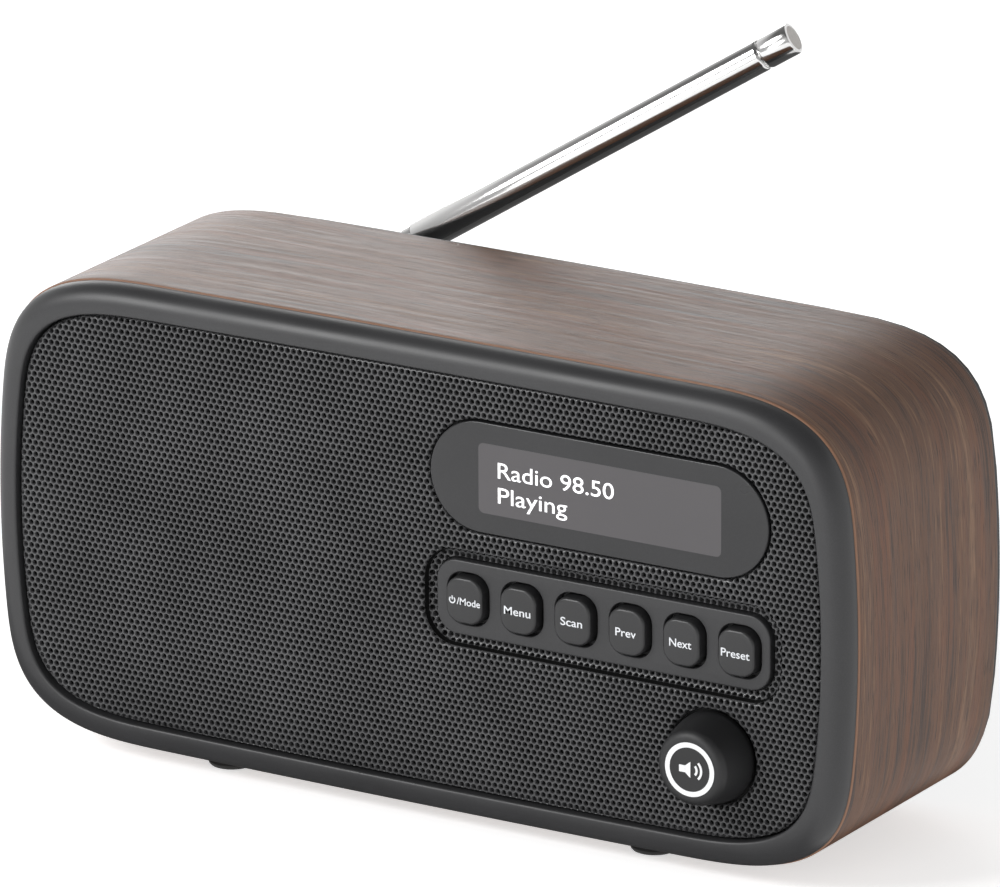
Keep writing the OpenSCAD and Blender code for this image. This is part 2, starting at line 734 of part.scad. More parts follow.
// Antenna. Inside along(): +X runs along the stored tube, +Z is the elbow's axis
module at_pivot() {
  placed() translate([pivot_x, pivot_y, pivot_z]) rotate([0, -antenna_rise, 0]) children();
}
module along() {
  at_pivot() rotate([0, 0, antenna_lean]) children();
}
module tube_x(r_out, r_in, x0, x1) {
  translate([x0, 0, 0]) rotate([0, 90, 0]) difference() {
    cylinder(r = r_out, h = x1 - x0);
    if (r_in > 0) translate([0, 0, -1]) cylinder(r = r_in, h = x1 - x0 + 2);
  }
}
ear_in = tongue_t / 2 + ear_gap;
ear_out = ear_in + ear_t;
module antenna_swivel() {
  to_cover = pivot_y - cab_depth;
  color("#d5d8dc") {
    at_pivot() difference() {
      union() {
        rotate([90, 0, 0]) cylinder(r = post_r, h = to_cover + cover_t + 1.5);
        rotate([90, 0, 0]) translate([0, 0, to_cover + cover_t + 0.3]) cylinder(r = keeper_r, h = 1.2);
        rotate([90, 0, 0]) translate([0, 0, to_cover - 1.7]) cylinder(r = 6, h = 1.4);
        for (s = [-1, 1]) translate([0, 0, s > 0 ? ear_in : -ear_out]) {
          cylinder(r = elbow_r, h = ear_t);
          translate([-elbow_r, -to_cover + 0.2, 0]) cube([2 * elbow_r, to_cover - 0.2, ear_t]);
        }
      }
      translate([-10, -to_cover + 1.6, -ear_in]) cube([20, 20, 2 * ear_in]);
      translate([0, 0, -10]) cylinder(r = elbow_pin_r, h = 20);
      difference() {
        translate([-10, -to_cover + 1.6, -10]) cube([20, 20, 20]);
        translate([0, 0, -10]) cylinder(r = elbow_r, h = 20);
        translate([-elbow_r, -20, -10]) cube([2 * elbow_r, 20, 20]);
      }
    }
  }
}
module antenna_hinge_pin() {
  color("#c9ccd0") at_pivot() translate([0, 0, -ear_out]) cylinder(r = elbow_pin_r, h = 2 * ear_out);
}
module antenna_knuckle() {
  color("#d5d8dc") along() difference() {
    union() {
      translate([0, 0, -tongue_t / 2]) cylinder(r = elbow_r - 0.3, h = tongue_t);
      translate([0, -elbow_r + 0.3, -tongue_t / 2]) cube([tube_start, 2 * elbow_r - 0.6, tongue_t]);
      tube_x(tube_r - tube_wall, 0, tube_start, tube_start + 5);
      tube_x(tube_r, 0, tube_start - 2, tube_start);
    }
    translate([0, 0, -10]) cylinder(r = elbow_pin_r + run_gap, h = 20);
  }
}
function section_r(i) = tube_r - i * tube_step;
module antenna_section(i) {
  last = i == 4;
  start = i == 0 ? tube_start : tube_start + 5.4 + i;
  end = i == 0 ? tube_end : tube_end + (last ? tip_gap : 0);
  color("#dfe2e6") along() tube_x(section_r(i), last ? 0 : section_r(i) - tube_wall, start, end);
}
module antenna_section_1() { antenna_section(0); }
module antenna_section_2() { antenna_section(1); }
module antenna_section_3() { antenna_section(2); }
module antenna_section_4() { antenna_section(3); }
module antenna_section_5() { antenna_section(4); }
module antenna_tip() {
  color("#dfe2e6") along() translate([antenna_len - tip_len, 0, 0]) rotate([0, 90, 0]) {
    cylinder(r1 = tube_r - 0.3, r2 = tube_r, h = 0.3);
    translate([0, 0, 0.3]) cylinder(r = tube_r, h = tip_len - 0.3);
  }
}

cabinet_shell();
veneer_wrap();
front_bezel();
front_baffle();
speaker_grille();
grille_scrim();
display_lens();
display_panel();
display_holder();
display_ribbon();
button_panel();
keypad_board();
tact_switches();
board_screws();
button_power();
button_menu();
button_scan();
button_prev();
button_next();
button_preset();
encoder_body();
encoder_nut();
encoder_carrier();
encoder_shaft();
volume_knob();
main_board();
tuner_module();
amplifier_chip();
capacitors();
board_connectors();
dc_jack();
headphone_jack();
speaker_frame();
speaker_magnet();
speaker_top_plate();
speaker_back_plate();
speaker_coil();
speaker_spider();
speaker_cone();
speaker_surround();
speaker_dust_cap();
speaker_gasket();
speaker_screws();
rear_cover();
rear_screws();
battery_box();
battery_contacts();
battery_cells();
battery_door();
rubber_feet();
antenna_swivel();
antenna_hinge_pin();
antenna_knuckle();
antenna_section_1();
antenna_section_2();
antenna_section_3();
antenna_section_4();
antenna_section_5();
antenna_tip();
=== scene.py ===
"""Looks of a compact tabletop radio, built around its packed mechanical frame.

Lengths inside the classes are in millimetres, measured from the grille's front
plane in depth, and they become metres when a mesh is put together.
"""

import json
import logging
from dataclasses import dataclass, field
from enum import Enum

import bpy
import numpy as np
from mathutils import Matrix, Vector, geometry


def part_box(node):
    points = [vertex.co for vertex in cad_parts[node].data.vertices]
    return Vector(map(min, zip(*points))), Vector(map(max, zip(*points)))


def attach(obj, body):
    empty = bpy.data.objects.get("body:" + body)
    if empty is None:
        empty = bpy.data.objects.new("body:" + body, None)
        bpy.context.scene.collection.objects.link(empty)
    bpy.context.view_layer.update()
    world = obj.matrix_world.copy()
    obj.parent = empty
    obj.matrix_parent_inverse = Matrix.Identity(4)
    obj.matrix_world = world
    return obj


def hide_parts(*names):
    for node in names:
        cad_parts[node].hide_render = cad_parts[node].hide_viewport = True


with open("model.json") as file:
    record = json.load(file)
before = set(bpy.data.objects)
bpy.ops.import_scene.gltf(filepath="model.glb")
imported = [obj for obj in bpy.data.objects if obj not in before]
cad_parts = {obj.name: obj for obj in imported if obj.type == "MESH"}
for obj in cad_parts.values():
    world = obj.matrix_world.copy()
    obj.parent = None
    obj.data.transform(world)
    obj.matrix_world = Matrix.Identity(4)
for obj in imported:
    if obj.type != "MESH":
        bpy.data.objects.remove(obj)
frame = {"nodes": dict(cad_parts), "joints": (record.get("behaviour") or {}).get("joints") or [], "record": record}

LOG = logging.getLogger("radio")
MM = 0.001
Array = np.ndarray
Rgb = tuple[float, float, float]
Triple = tuple[float, float, float]
Spot = tuple[float, float]
Socket = bpy.types.NodeSocket


# ---------------------------------------------------------------- surfaces


def plane_y() -> float:
    """Depth of the grille's front plane in the row frame, in millimetres."""
    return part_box("speaker_grille")[0].y / MM


def put(name: str, data: bpy.types.ID) -> bpy.types.Object:
    """A new object with this data, at the origin of the scene.

    Args:
        name: Name of the object.
        data: Its mesh, curve, lamp or camera.

    Returns:
        The object.
    """
    made = bpy.data.objects.new(name, data)
    bpy.context.scene.collection.objects.link(made)
    return made


@dataclass(frozen=True)
class NodeBox:
    """Box of a frame node, in millimetres, with depths counted from the grille's front.

    Args:
        centre: X and Z of its middle.
        half: Half its width and half its height.
        front: Depth of its front.
        back: Depth of its rear.
    """

    centre: Spot
    half: Spot
    front: float
    back: float

    @classmethod
    def of(cls, node: str) -> "NodeBox":
        """Measures a node.

        Args:
            node: Name of the node.

        Returns:
            Its box.
        """
        low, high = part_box(node)
        centre = ((low.x + high.x) / 2 / MM, (low.z + high.z) / 2 / MM)
        half = ((high.x - low.x) / 2 / MM, (high.z - low.z) / 2 / MM)
        return cls(centre, half, low.y / MM - plane_y(), high.y / MM - plane_y())


def ring_faces(rows: int, count: int, closed: bool) -> Array:
    """Quads between neighbouring rings of a grid whose columns close on themselves.

    Args:
        rows: Number of rings.
        count: Points on each ring.
        closed: Whether the last ring joins the first.

    Returns:
        Corner numbers, four to a face.
    """
    i = np.arange(rows if closed else rows - 1)[:, None]
    j = np.arange(count)[None, :]
    k, n = (i + 1) % rows, (j + 1) % count
    corners = [i * count + j, i * count + n, k * count + n, k * count + j]
    return np.stack(corners, -1).reshape(-1, 4)


def signed_volume(points: Array, faces: Array) -> float:
    """Volume inside faces: the sum of a . (b x c) / 6 over their triangles, negative if they face in.

    Args:
        points: Points of the shell.
        faces: Its faces, as numbers into those points.

    Returns:
        The volume, in cubic millimetres.
    """
    total = 0.0
    for k in range(1, faces.shape[1] - 1):
        a, b, c = points[faces[:, 0]], points[faces[:, k]], points[faces[:, k + 1]]
        total += float(np.einsum("ij,ij->", a, np.cross(b, c))) / 6
    return total


def tidy_quads(faces: Array, uv: Array | None) -> tuple[list[Array], list[Array | None]]:
    """Turns quads that have lost a corner into triangles, and drops what has no area.

    Args:
        faces: Corner numbers after welding, four to a face.
        uv: Pattern coordinates of those corners, or nothing.

    Returns:
        The quads and the triangles, and the pattern coordinates that go with each.
    """
    same = faces == np.roll(faces, -1, axis=1)
    lost = same.sum(1)
    whole, three = lost == 0, lost == 1
    first = (np.argmax(same[three], axis=1)[:, None] + np.array([1, 2, 3])) % 4
    triangles = np.take_along_axis(faces[three], first, axis=1)
    if uv is None:
        return [faces[whole], triangles], [None, None]
    return [faces[whole], triangles], [uv[whole], np.take_along_axis(uv[three], first[:, :, None], axis=1)]


@dataclass
class Surface:
    """A mesh put together from whole arrays of points and faces.

    Args:
        points: Arrays of points, in millimetres, with the grille's front at depth 0.
        faces: Arrays of corner numbers into the joined points.
        patterns: Pattern coordinates for each array of faces, or nothing.
        shades: Number of the material slot for each array of faces.
    """

    points: list[Array] = field(default_factory=list)
    faces: list[Array] = field(default_factory=list)
    patterns: list[Array | None] = field(default_factory=list)
    shades: list[int] = field(default_factory=list)

    def count(self) -> int:
        """Number of points so far."""
        return sum(len(p) for p in self.points)

    def add(self, points: Array, faces: Array, uv: Array | None = None, closed: bool = True) -> None:
        """Adds one shell, turned so that a closed one faces outwards.

        Args:
            points: The shell's points.
            faces: Its faces, as numbers into those points.
            uv: Pattern coordinates of every face corner.
            closed: Whether the shell has an inside.
        """
        if closed and signed_volume(points - points.mean(0), faces) < 0:
            faces = faces[:, ::-1]
            uv = None if uv is None else uv[:, ::-1]
        self.faces.append(faces + self.count())
        self.points.append(points)
        self.patterns.append(uv)
        self.shades.append(0)

    def extend(self, faces: Array, shade: int) -> None:
        """Adds faces between points that are already there, in another material slot.

        Args:
            faces: Numbers into all the points so far.
            shade: Material slot.
        """
        self.faces.append(faces)
        self.patterns.append(None)
        self.shades.append(shade)

    def rings(self, rings: Array, closed: bool = False, uv: Array | None = None) -> None:
        """Adds the skin over a stack of rings, capped with a pole at both ends unless it closes on itself.

        Args:
            rings: Points, by ring, by place on the ring.
            closed: Whether the last ring joins the first.
            uv: Pattern coordinates with one more column than the rings, for a closed stack.
        """
        rows, count = rings.shape[:2]
        if not closed:
            ends = [np.repeat(rings[k : k + 1].mean(1, keepdims=True), count, axis=1) for k in (0, rows - 1)]
            rings = np.concatenate([ends[0], rings, ends[1]])
            rows += 2
        corners = None
        if uv is not None:
            k = (np.arange(rows) + 1) % rows
            grid = [uv[:, :-1], uv[:, 1:], uv[k, 1:], uv[k, :-1]]
            corners = np.stack(grid, axis=2).reshape(-1, 4, 2)
        self.add(rings.reshape(-1, 3), ring_faces(rows, count, closed), corners)

    def weld(self) -> tuple[Array, list[tuple[Array, Array | None, int]]]:
        """Joins points that coincide, so that seams and poles are closed.

        Returns:
            The points, and for each group its faces, pattern coordinates and material slot.
        """
        points = np.concatenate(self.points)
        keys = np.round(points * 1e4).astype(np.int64)
        _, keep, number = np.unique(keys, axis=0, return_index=True, return_inverse=True)
        number = number.reshape(-1)
        kept: list[tuple[Array, Array | None, int]] = []
        for group, uv, shade in zip(self.faces, self.patterns, self.shades):
            group = number[group]
            if group.shape[1] == 4:
                groups, uvs = tidy_quads(group, uv)
            else:
                sound = (group != np.roll(group, -1, axis=1)).all(1)
                groups, uvs = [group[sound]], [None if uv is None else uv[sound]]
            kept += [(g, u, shade) for g, u in zip(groups, uvs) if len(g)]
        return points[keep], kept

    def build(self, name: str, sharp: float = 35.0) -> bpy.types.Object:
        """Puts the arrays into a mesh object at the origin.

        Args:
            name: Name of the object.
            sharp: Angle in degrees above which an edge is shaded sharp.

        Returns:
            The object, linked to the scene.
        """
        points, kept = self.weld()
        corners = np.concatenate([g.ravel() for g, _, _ in kept]).astype(np.int32)
        sizes = np.concatenate([np.full(len(g), g.shape[1]) for g, _, _ in kept])
        shades = np.concatenate([np.full(len(g), shade) for g, _, shade in kept])
        starts = np.concatenate([[0], np.cumsum(sizes)[:-1]]).astype(np.int32)
        placed = (points + [0, plane_y(), 0]) * MM
        mesh = bpy.data.meshes.new(name)
        mesh.vertices.add(len(placed))
        mesh.vertices.foreach_set("co", placed.astype(np.float32).ravel())
        mesh.loops.add(len(corners))
        mesh.loops.foreach_set("vertex_index", corners)
        mesh.polygons.add(len(sizes))
        mesh.polygons.foreach_set("loop_start", starts)
        mesh.polygons.foreach_set("use_smooth", np.ones(len(sizes), bool))
        mesh.polygons.foreach_set("material_index", shades.astype(np.int32))
        mesh.update(calc_edges=True)
        if all(u is not None for _, u, _ in kept):
            layer = mesh.uv_layers.new(name="pattern")
            pattern = np.concatenate([u.reshape(-1) for _, u, _ in kept])
            layer.data.foreach_set("uv", pattern.astype(np.float32))
        mesh.validate()
        mesh.set_sharp_from_angle(angle=np.radians(sharp))
        return put(name, mesh)


def rounded_rings(centre: Spot, sections: list[tuple], per_corner: int = 14) -> Array:
    """Rings in the shape of rounded rectangles: each corner is a quarter circle about its own centre.

    Args:
        centre: X and Z of the rings' middle.
        sections: Half width, half height, corner radius and depth of each ring.
        per_corner: Points on each corner.

    Returns:
        Points, by ring, by place on the ring.
    """
    half_w, half_h, radius, depth = (np.asarray(sections, float)[:, k, None] for k in range(4))
    quarter = np.linspace(0, np.pi / 2, per_corner)
    angle = np.concatenate([quarter + k * np.pi / 2 for k in range(4)])[None]
    side_x = np.repeat([1, -1, -1, 1], per_corner)[None]
    side_z = np.repeat([1, 1, -1, -1], per_corner)[None]
    x = centre[0] + side_x * (half_w - radius) + radius * np.cos(angle)
    z = centre[1] + side_z * (half_h - radius) + radius * np.sin(angle)
    return np.stack([x, np.broadcast_to(depth, x.shape), z], -1)


def turned_rings(origin: Array, axis: Array, profile: list[tuple], steps: int = 64) -> Array:
    """Rings of a turned shape: each profile point goes round the axis at its own radius.

    Args:
        origin: Point on the axis from which the profile's lengths count.
        axis: Direction of the axis.
        profile: Radius and length along the axis, point by point.
        steps: Points on each ring.

    Returns:
        Points, by ring, by place on the ring.
    """
    axis = np.asarray(axis, float) / np.linalg.norm(axis)
    helper = np.eye(3)[int(np.argmin(np.abs(axis)))]
    across = np.cross(axis, helper)
    across /= np.linalg.norm(across)
    other = np.cross(axis, across)
    angle = np.linspace(0, 2 * np.pi, steps, endpoint=False)[None, :, None]
    radius, along = (np.asarray(profile, float)[:, k, None, None] for k in range(2))
    around = across * np.cos(angle) + other * np.sin(angle)
    return np.asarray(origin, float) + axis * along + radius * around


def arc(x: float, y: float, radius: float, start: float, end: float, steps: int) -> list[tuple]:
    """Points of an arc: the centre plus the radius times the cosine and sine of the angle.

    Args:
        x: First coordinate of the centre.
        y: Second coordinate of the centre.
        radius: Radius of the arc.
        start: Angle at which it starts, in degrees.
        end: Angle at which it ends, in degrees.
        steps: Number of points.

    Returns:
        The points.
    """
    angle = np.radians(np.linspace(start, end, steps))
    return [tuple(p) for p in np.stack([x + radius * np.cos(angle), y + radius * np.sin(angle)], -1)]


def ribbon(surface: Surface, path: Array, width: float, front: float, back: float) -> None:
    """Adds a flat printed stroke: the path shifted half a width to each side, with a thin edge.

    Args:
        surface: Where the stroke goes.
        path: X and Z of its centreline.
        width: Width of the stroke.
        front: Depth of its front face.
        back: Depth of its back face.
    """
    way = np.gradient(path, axis=0)
    way /= np.linalg.norm(way, axis=1, keepdims=True)
    side = np.stack([-way[:, 1], way[:, 0]], -1) * width / 2
    left, right = path + side, path - side
    corners = [(left, front), (right, front), (right, back), (left, back)]
    surface.rings(np.stack([np.insert(p, 1, y, axis=1) for p, y in corners], 1))


@dataclass(frozen=True)
class CabinetOutline:
    """Front view of the cabinet: a rectangle with full corners whose sides, top and bottom bow outwards.

    Args:
        half_width: Half the width at the middle of the sides.
        half_height: Half the height at the middle of the top.
        middle: Height of the outline's middle above the table.
        side_bow: Outward bow of each side.
        top_bow: Outward bow of the top and the bottom.
        corner_x: Reach of a corner along the top.
        corner_z: Reach of a corner down the side.
        power: Fullness of the corner curve.
    """

    half_width: float
    half_height: float
    middle: float
    side_bow: float = 4.8
    top_bow: float = 0.6
    corner_x: float = 39.0
    corner_z: float = 29.0
    power: float = 3.4

    def quarter(self, inset: Array, side: int, corner: int) -> tuple[Array, Array]:
        """X and Z of the upper right quarter, before mirroring.

        The side and the top are straight; between them x = w - rx (1 - cos(t)^(2/p)) and
        z = h - rz (1 - sin(t)^(2/p)). Then x grows by side_bow (1 - (z/h)^2) x/w, and z by
        top_bow (1 - (x/w)^2) z/h.

        Args:
            inset: Inset from the outline, one to a row.
            side: Points on each straight part.
            corner: Points on the corner.

        Returns:
            X and Z, with a row for each inset.
        """
        w = self.half_width - self.side_bow - inset
        h = self.half_height - self.top_bow - inset
        rx = np.maximum(self.corner_x - inset, 4)
        rz = np.maximum(self.corner_z - inset, 4)
        run = np.arange(side)[None] / side
        t = np.pi / 4 * (1 - np.cos(np.pi * np.arange(corner + 1)[None] / corner))
        curve_x = w - rx * (1 - np.cos(t).clip(0) ** (2 / self.power))
        curve_z = h - rz * (1 - np.sin(t).clip(0) ** (2 / self.power))
        last = (w - rx) * (1 - np.arange(1, side + 1)[None] / side)
        x = np.concatenate([w + 0 * run, curve_x, last], 1)
        z = np.concatenate([(h - rz) * run, curve_z, h + 0 * last], 1)
        return (
            x + self.side_bow * (1 - (z / h) ** 2) * x / w,
            z + self.top_bow * (1 - (x / w) ** 2) * z / h,
        )

    def rings(self, section: list[tuple], side: int = 16, corner: int = 56) -> Array:
        """Carries a section round the outline, starting under the middle of the bottom.

        Args:
            section: Inset from the outline and depth, point by point.
            side: Points on each straight part of a quarter.
            corner: Points on each corner.

        Returns:
            Points, by section point, by place on the outline.
        """
        inset, depth = (np.asarray(section, float)[:, k, None] for k in range(2))
        top_x, top_z = self.quarter(inset, side, corner)
        x, z = top_x[:, :-1], top_z[:, :-1]
        back_x, back_z = top_x[:, :0:-1], top_z[:, :0:-1]
        whole_x = np.concatenate([x, -back_x, -x, back_x], 1)
        whole_z = np.concatenate([z, back_z, -z, -back_z], 1)
        start = 3 * x.shape[1]
        whole_x, whole_z = np.roll(whole_x, -start, 1), np.roll(whole_z, -start, 1)
        return np.stack([whole_x, np.broadcast_to(depth, whole_x.shape), whole_z + self.middle], -1)

    def edge(self, inset: float) -> tuple[Array, Array, Array]:
        """Looks from the outline's middle at an inset of it, all the way round.

        Args:
            inset: Inset from the outline.

        Returns:
            Directions, distances, and how squarely each direction meets the inset's edge.
        """
        ring = self.rings([(inset, 0)])[0][:, [0, 2]] - [0, self.middle]
        way = np.roll(ring, -1, 0) - np.roll(ring, 1, 0)
        normal = np.stack([way[:, 1], -way[:, 0]], -1)
        normal /= np.linalg.norm(normal, axis=1, keepdims=True)
        reach = np.linalg.norm(ring, axis=1)
        square = np.abs((normal * ring).sum(1)) / reach
        angle = np.arctan2(ring[:, 1], ring[:, 0])
        order = np.argsort(angle)
        return angle[order], reach[order], square[order]


def cabinet_outline() -> CabinetOutline:
    """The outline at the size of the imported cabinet."""
    low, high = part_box("veneer_wrap")
    middle = (low.z + high.z) / 2 / MM
    return CabinetOutline(high.x / MM, high.z / MM - middle, middle)


# ---------------------------------------------------------------- finishes


class Bench:
    """A material's node tree with short ways to add and join nodes."""

    def __init__(self, name: str) -> None:
        """Starts an empty material with a shader and an output.

        Args:
            name: Name of the material.
        """
        self.material = bpy.data.materials.new(name)
        self.material.use_nodes = True
        self.tree = self.material.node_tree
        self.tree.nodes.clear()
        self.out = self.tree.nodes.new("ShaderNodeOutputMaterial")
        self.shader = self.tree.nodes.new("ShaderNodeBsdfPrincipled")
        self.tree.links.new(self.shader.outputs[0], self.out.inputs[0])

    def node(self, kind: str, **settings: object) -> bpy.types.Node:
        """Adds a node and sets its properties.

        Args:
            kind: Node type without its usual prefix.
            settings: Properties to set on it.

        Returns:
            The node.
        """
        made = self.tree.nodes.new("ShaderNode" + kind)
        for key, value in settings.items():
            setattr(made, key, value)
        return made

    def feed(self, node: bpy.types.Node, socket: str | int, value: object) -> None:
        """Joins an output to an input socket, or sets the socket to a plain value.

        Args:
            node: Node the socket is on.
            socket: Name or number of the socket.
            value: Output or plain value.
        """
        target = node.inputs[socket]
        if isinstance(value, Socket):
            self.tree.links.new(value, target)
        else:
            target.default_value = value

    def set(self, **values: object) -> None:
        """Sets or joins inputs of the main shader, by name with underscores for spaces."""
        for key, value in values.items():
            if isinstance(value, tuple) and len(value) == 3:
                value = (*value, 1.0)
            self.feed(self.shader, key.replace("_", " "), value)

    def place(self, scale: Rgb = (1, 1, 1), turn: Rgb = (0, 0, 0), pattern: bool = False) -> Socket:
        """Coordinates in metres, stretched and turned.

        Args:
            scale: Stretch along each axis.
            turn: Turn about each axis, in degrees.
            pattern: Whether they follow the piece's own surface.

        Returns:
            The vector output.
        """
        source = self.node("TexCoord").outputs["UV" if pattern else "Object"]
        mapping = self.node("Mapping")
        self.feed(mapping, "Vector", source)
        self.feed(mapping, "Scale", scale)
        self.feed(mapping, "Rotation", tuple(np.radians(turn)))
        return mapping.outputs[0]

    def noise(self, vector: object, scale: float, detail: float = 3, rough: float = 0.5) -> Socket:
        """Smooth noise between 0 and 1.

        Args:
            vector: Coordinates.
            scale: Waves per unit of them.
            detail: Number of finer layers.
            rough: Strength of each finer layer.

        Returns:
            The noise output.
        """
        made = self.node("TexNoise")
        for key, value in (("Vector", vector), ("Scale", scale), ("Detail", detail), ("Roughness", rough)):
            self.feed(made, key, value)
        return made.outputs["Fac"]

    def span(
        self, value: object, low: float, high: float, to_low: float = 0, to_high: float = 1
    ) -> Socket:
        """Maps one range to another, with the ends clamped.

        Args:
            value: What to map.
            low: Start of its range.
            high: End of its range.
            to_low: Result at the start.
            to_high: Result at the end.

        Returns:
            The number output.
        """
        made = self.node("MapRange")
        for key, part in zip(range(5), (value, low, high, to_low, to_high)):
            self.feed(made, key, part)
        return made.outputs[0]

    def maths(self, kind: str, a: object, b: object = 0.0) -> Socket:
        """Result of one sum on two numbers.

        Args:
            kind: Name of the sum.
            a: First number.
            b: Second number.

        Returns:
            The number output.
        """
        made = self.node("Math", operation=kind)
        self.feed(made, 0, a)
        self.feed(made, 1, b)
        return made.outputs[0]

    def mix(self, share: object, low: object, high: object) -> Socket:
        """Colour between two colours.

        Args:
            share: Where between the two.
            low: Colour at share 0.
            high: Colour at share 1.

        Returns:
            The colour output.
        """
        made = self.node("Mix", data_type="RGBA")
        for key, value in ((0, share), (6, low), (7, high)):
            self.feed(made, key, (*value, 1.0) if isinstance(value, tuple) else value)
        return made.outputs[2]

    def tint(self, share: object, colour: Rgb, low: float, high: float) -> Socket:
        """One colour between two brightnesses of it.

        Args:
            share: Where between the two.
            colour: The colour itself.
            low: Factor on it at share 0.
            high: Factor on it at share 1.

        Returns:
            The colour output.
        """
        return self.mix(share, shade(colour, low), shade(colour, high))

    def ramp(self, value: object, stops: list[tuple[float, Rgb]]) -> Socket:
        """Colour read from a row of stops.

        Args:
            value: Where on the row.
            stops: Place and colour of each stop.

        Returns:
            The colour output.
        """
        made = self.node("ValToRGB")
        row = made.color_ramp.elements
        while len(row) < len(stops):
            row.new(0.5)
        for part, (at, colour) in zip(row, stops):
            part.position, part.color = at, (*colour, 1.0)
        self.feed(made, 0, value)
        return made.outputs[0]

    def bump(self, height: object, depth: float, strength: float = 1.0) -> Socket:
        """Surface normal shaken by a height.

        Args:
            height: Height between 0 and 1.
            depth: What a height of 1 stands for, in metres.
            strength: Share of the effect.

        Returns:
            The normal output.
        """
        made = self.node("Bump")
        self.feed(made, "Height", height)
        self.feed(made, "Distance", depth)
        self.feed(made, "Strength", strength)
        return made.outputs[0]


def shade(colour: Rgb, factor: float) -> Rgb:
    """A colour made darker or lighter, but no brighter than white."""
    return tuple(min(c * factor, 1.0) for c in colour)


class Finish:
    """What a surface looks like; each kind adds its own nodes."""

    def paint(self, bench: Bench) -> None:
        """Adds the finish's nodes to a material's tree.

        Args:
            bench: The tree to add to.
        """
        raise NotImplementedError

    def material(self, name: str) -> bpy.types.Material:
        """A new material with this finish.

        Args:
            name: Name of the material.

        Returns:
            The material.
        """
        bench = Bench(name)
        self.paint(bench)
        return bench.material


@dataclass(frozen=True)
class MouldedPlastic(Finish):
    """Fine-grained moulded plastic.

    Args:
        colour: Linear base colour.
        rough: Middle of the roughness.
        grain: Size of the mould's spark grain, in metres.
        depth: Height of that grain, in metres.
        specular: Strength of the reflection.
        coat: Strength of a clear top layer.
    """

    colour: Rgb
    rough: float = 0.45
    grain: float = 0.00035
    depth: float = 0.00001
    specular: float = 0.5
    coat: float = 0.0

    def paint(self, bench: Bench) -> None:
        """Adds grain in the bump, and slow drift in colour and roughness.

        Args:
            bench: The tree to add to.
        """
        where = bench.place()
        fine = bench.noise(where, 1 / self.grain, 2)
        broad = bench.noise(where, 28, 4)
        tint = bench.tint(bench.span(broad, 0.3, 0.7), self.colour, 0.86, 1.12)
        speck = bench.span(fine, 0.35, 0.75, 0.0, 0.22)
        bench.set(
            Base_Color=bench.mix(speck, tint, shade(self.colour, 1.9)),
            Roughness=bench.span(broad, 0.25, 0.75, self.rough - 0.04, self.rough + 0.05),
            Specular_IOR_Level=self.specular,
            Coat_Weight=self.coat,
            Coat_Roughness=0.08,
            Normal=bench.bump(fine, self.depth),
        )


@dataclass(frozen=True)
class SheetPaint(Finish):
    """Powder paint on punched or pressed metal.

    Args:
        colour: Linear base colour.
        rough: Middle of the roughness.
        metallic: Share of metal flake in the paint.
        specular: Strength of the reflection.
    """

    colour: Rgb
    rough: float = 0.4
    metallic: float = 0.0
    specular: float = 0.5

    def paint(self, bench: Bench) -> None:
        """Adds orange-peel bump and a little sparkle in the roughness.

        Args:
            bench: The tree to add to.
        """
        where = bench.place()
        peel = bench.noise(where, 2600, 2)
        broad = bench.noise(where, 45, 3)
        bench.set(
            Base_Color=bench.tint(bench.span(broad, 0.3, 0.7), self.colour, 0.84, 1.15),
            Metallic=self.metallic,
            Specular_IOR_Level=self.specular,
            Roughness=bench.span(peel, 0.3, 0.7, self.rough - 0.06, self.rough + 0.06),
            Normal=bench.bump(peel, 0.000006),
        )


@dataclass(frozen=True)
class BareMetal(Finish):
    """Bright metal with fine lines from drawing, turning or brushing.

    Args:
        colour: Linear base colour.
        rough: Middle of the roughness.
        lines: Stretch of the fine lines along each axis.
        depth: Height of the lines, in metres.
    """

    colour: Rgb
    rough: float = 0.28
    lines: Rgb = (60, 2400, 2400)
    depth: float = 0.000002

    def paint(self, bench: Bench) -> None:
        """Adds stretched noise in the bump and smudges in the roughness.

        Args:
            bench: The tree to add to.
        """
        scratch = bench.noise(bench.place(self.lines), 1, 4)
        smudge = bench.noise(bench.place(), 60, 4)
        bench.set(
            Base_Color=bench.tint(bench.span(scratch, 0.35, 0.65), self.colour, 0.9, 1.0),
            Metallic=1.0,
            Roughness=bench.span(smudge, 0.25, 0.8, self.rough * 0.8, self.rough * 1.25),
            Normal=bench.bump(scratch, self.depth),
        )


@dataclass(frozen=True)
class Chrome(Finish):
    """Polished chrome plating with faint smudges.

    Args:
        colour: Linear reflection colour.
        rough: Roughness where it is clean.
    """

    colour: Rgb = (0.74, 0.735, 0.73)
    rough: float = 0.11

    def paint(self, bench: Bench) -> None:
        """Adds smudges change the roughness and, a little, the colour.

        Args:
            bench: The tree to add to.
        """
        smudge = bench.noise(bench.place(), 90, 4)
        bench.set(
            Base_Color=bench.tint(bench.span(smudge, 0.35, 0.7), self.colour, 1.0, 0.93),
            Metallic=1.0,
            Roughness=bench.span(smudge, 0.35, 0.75, self.rough, self.rough + 0.07),
        )


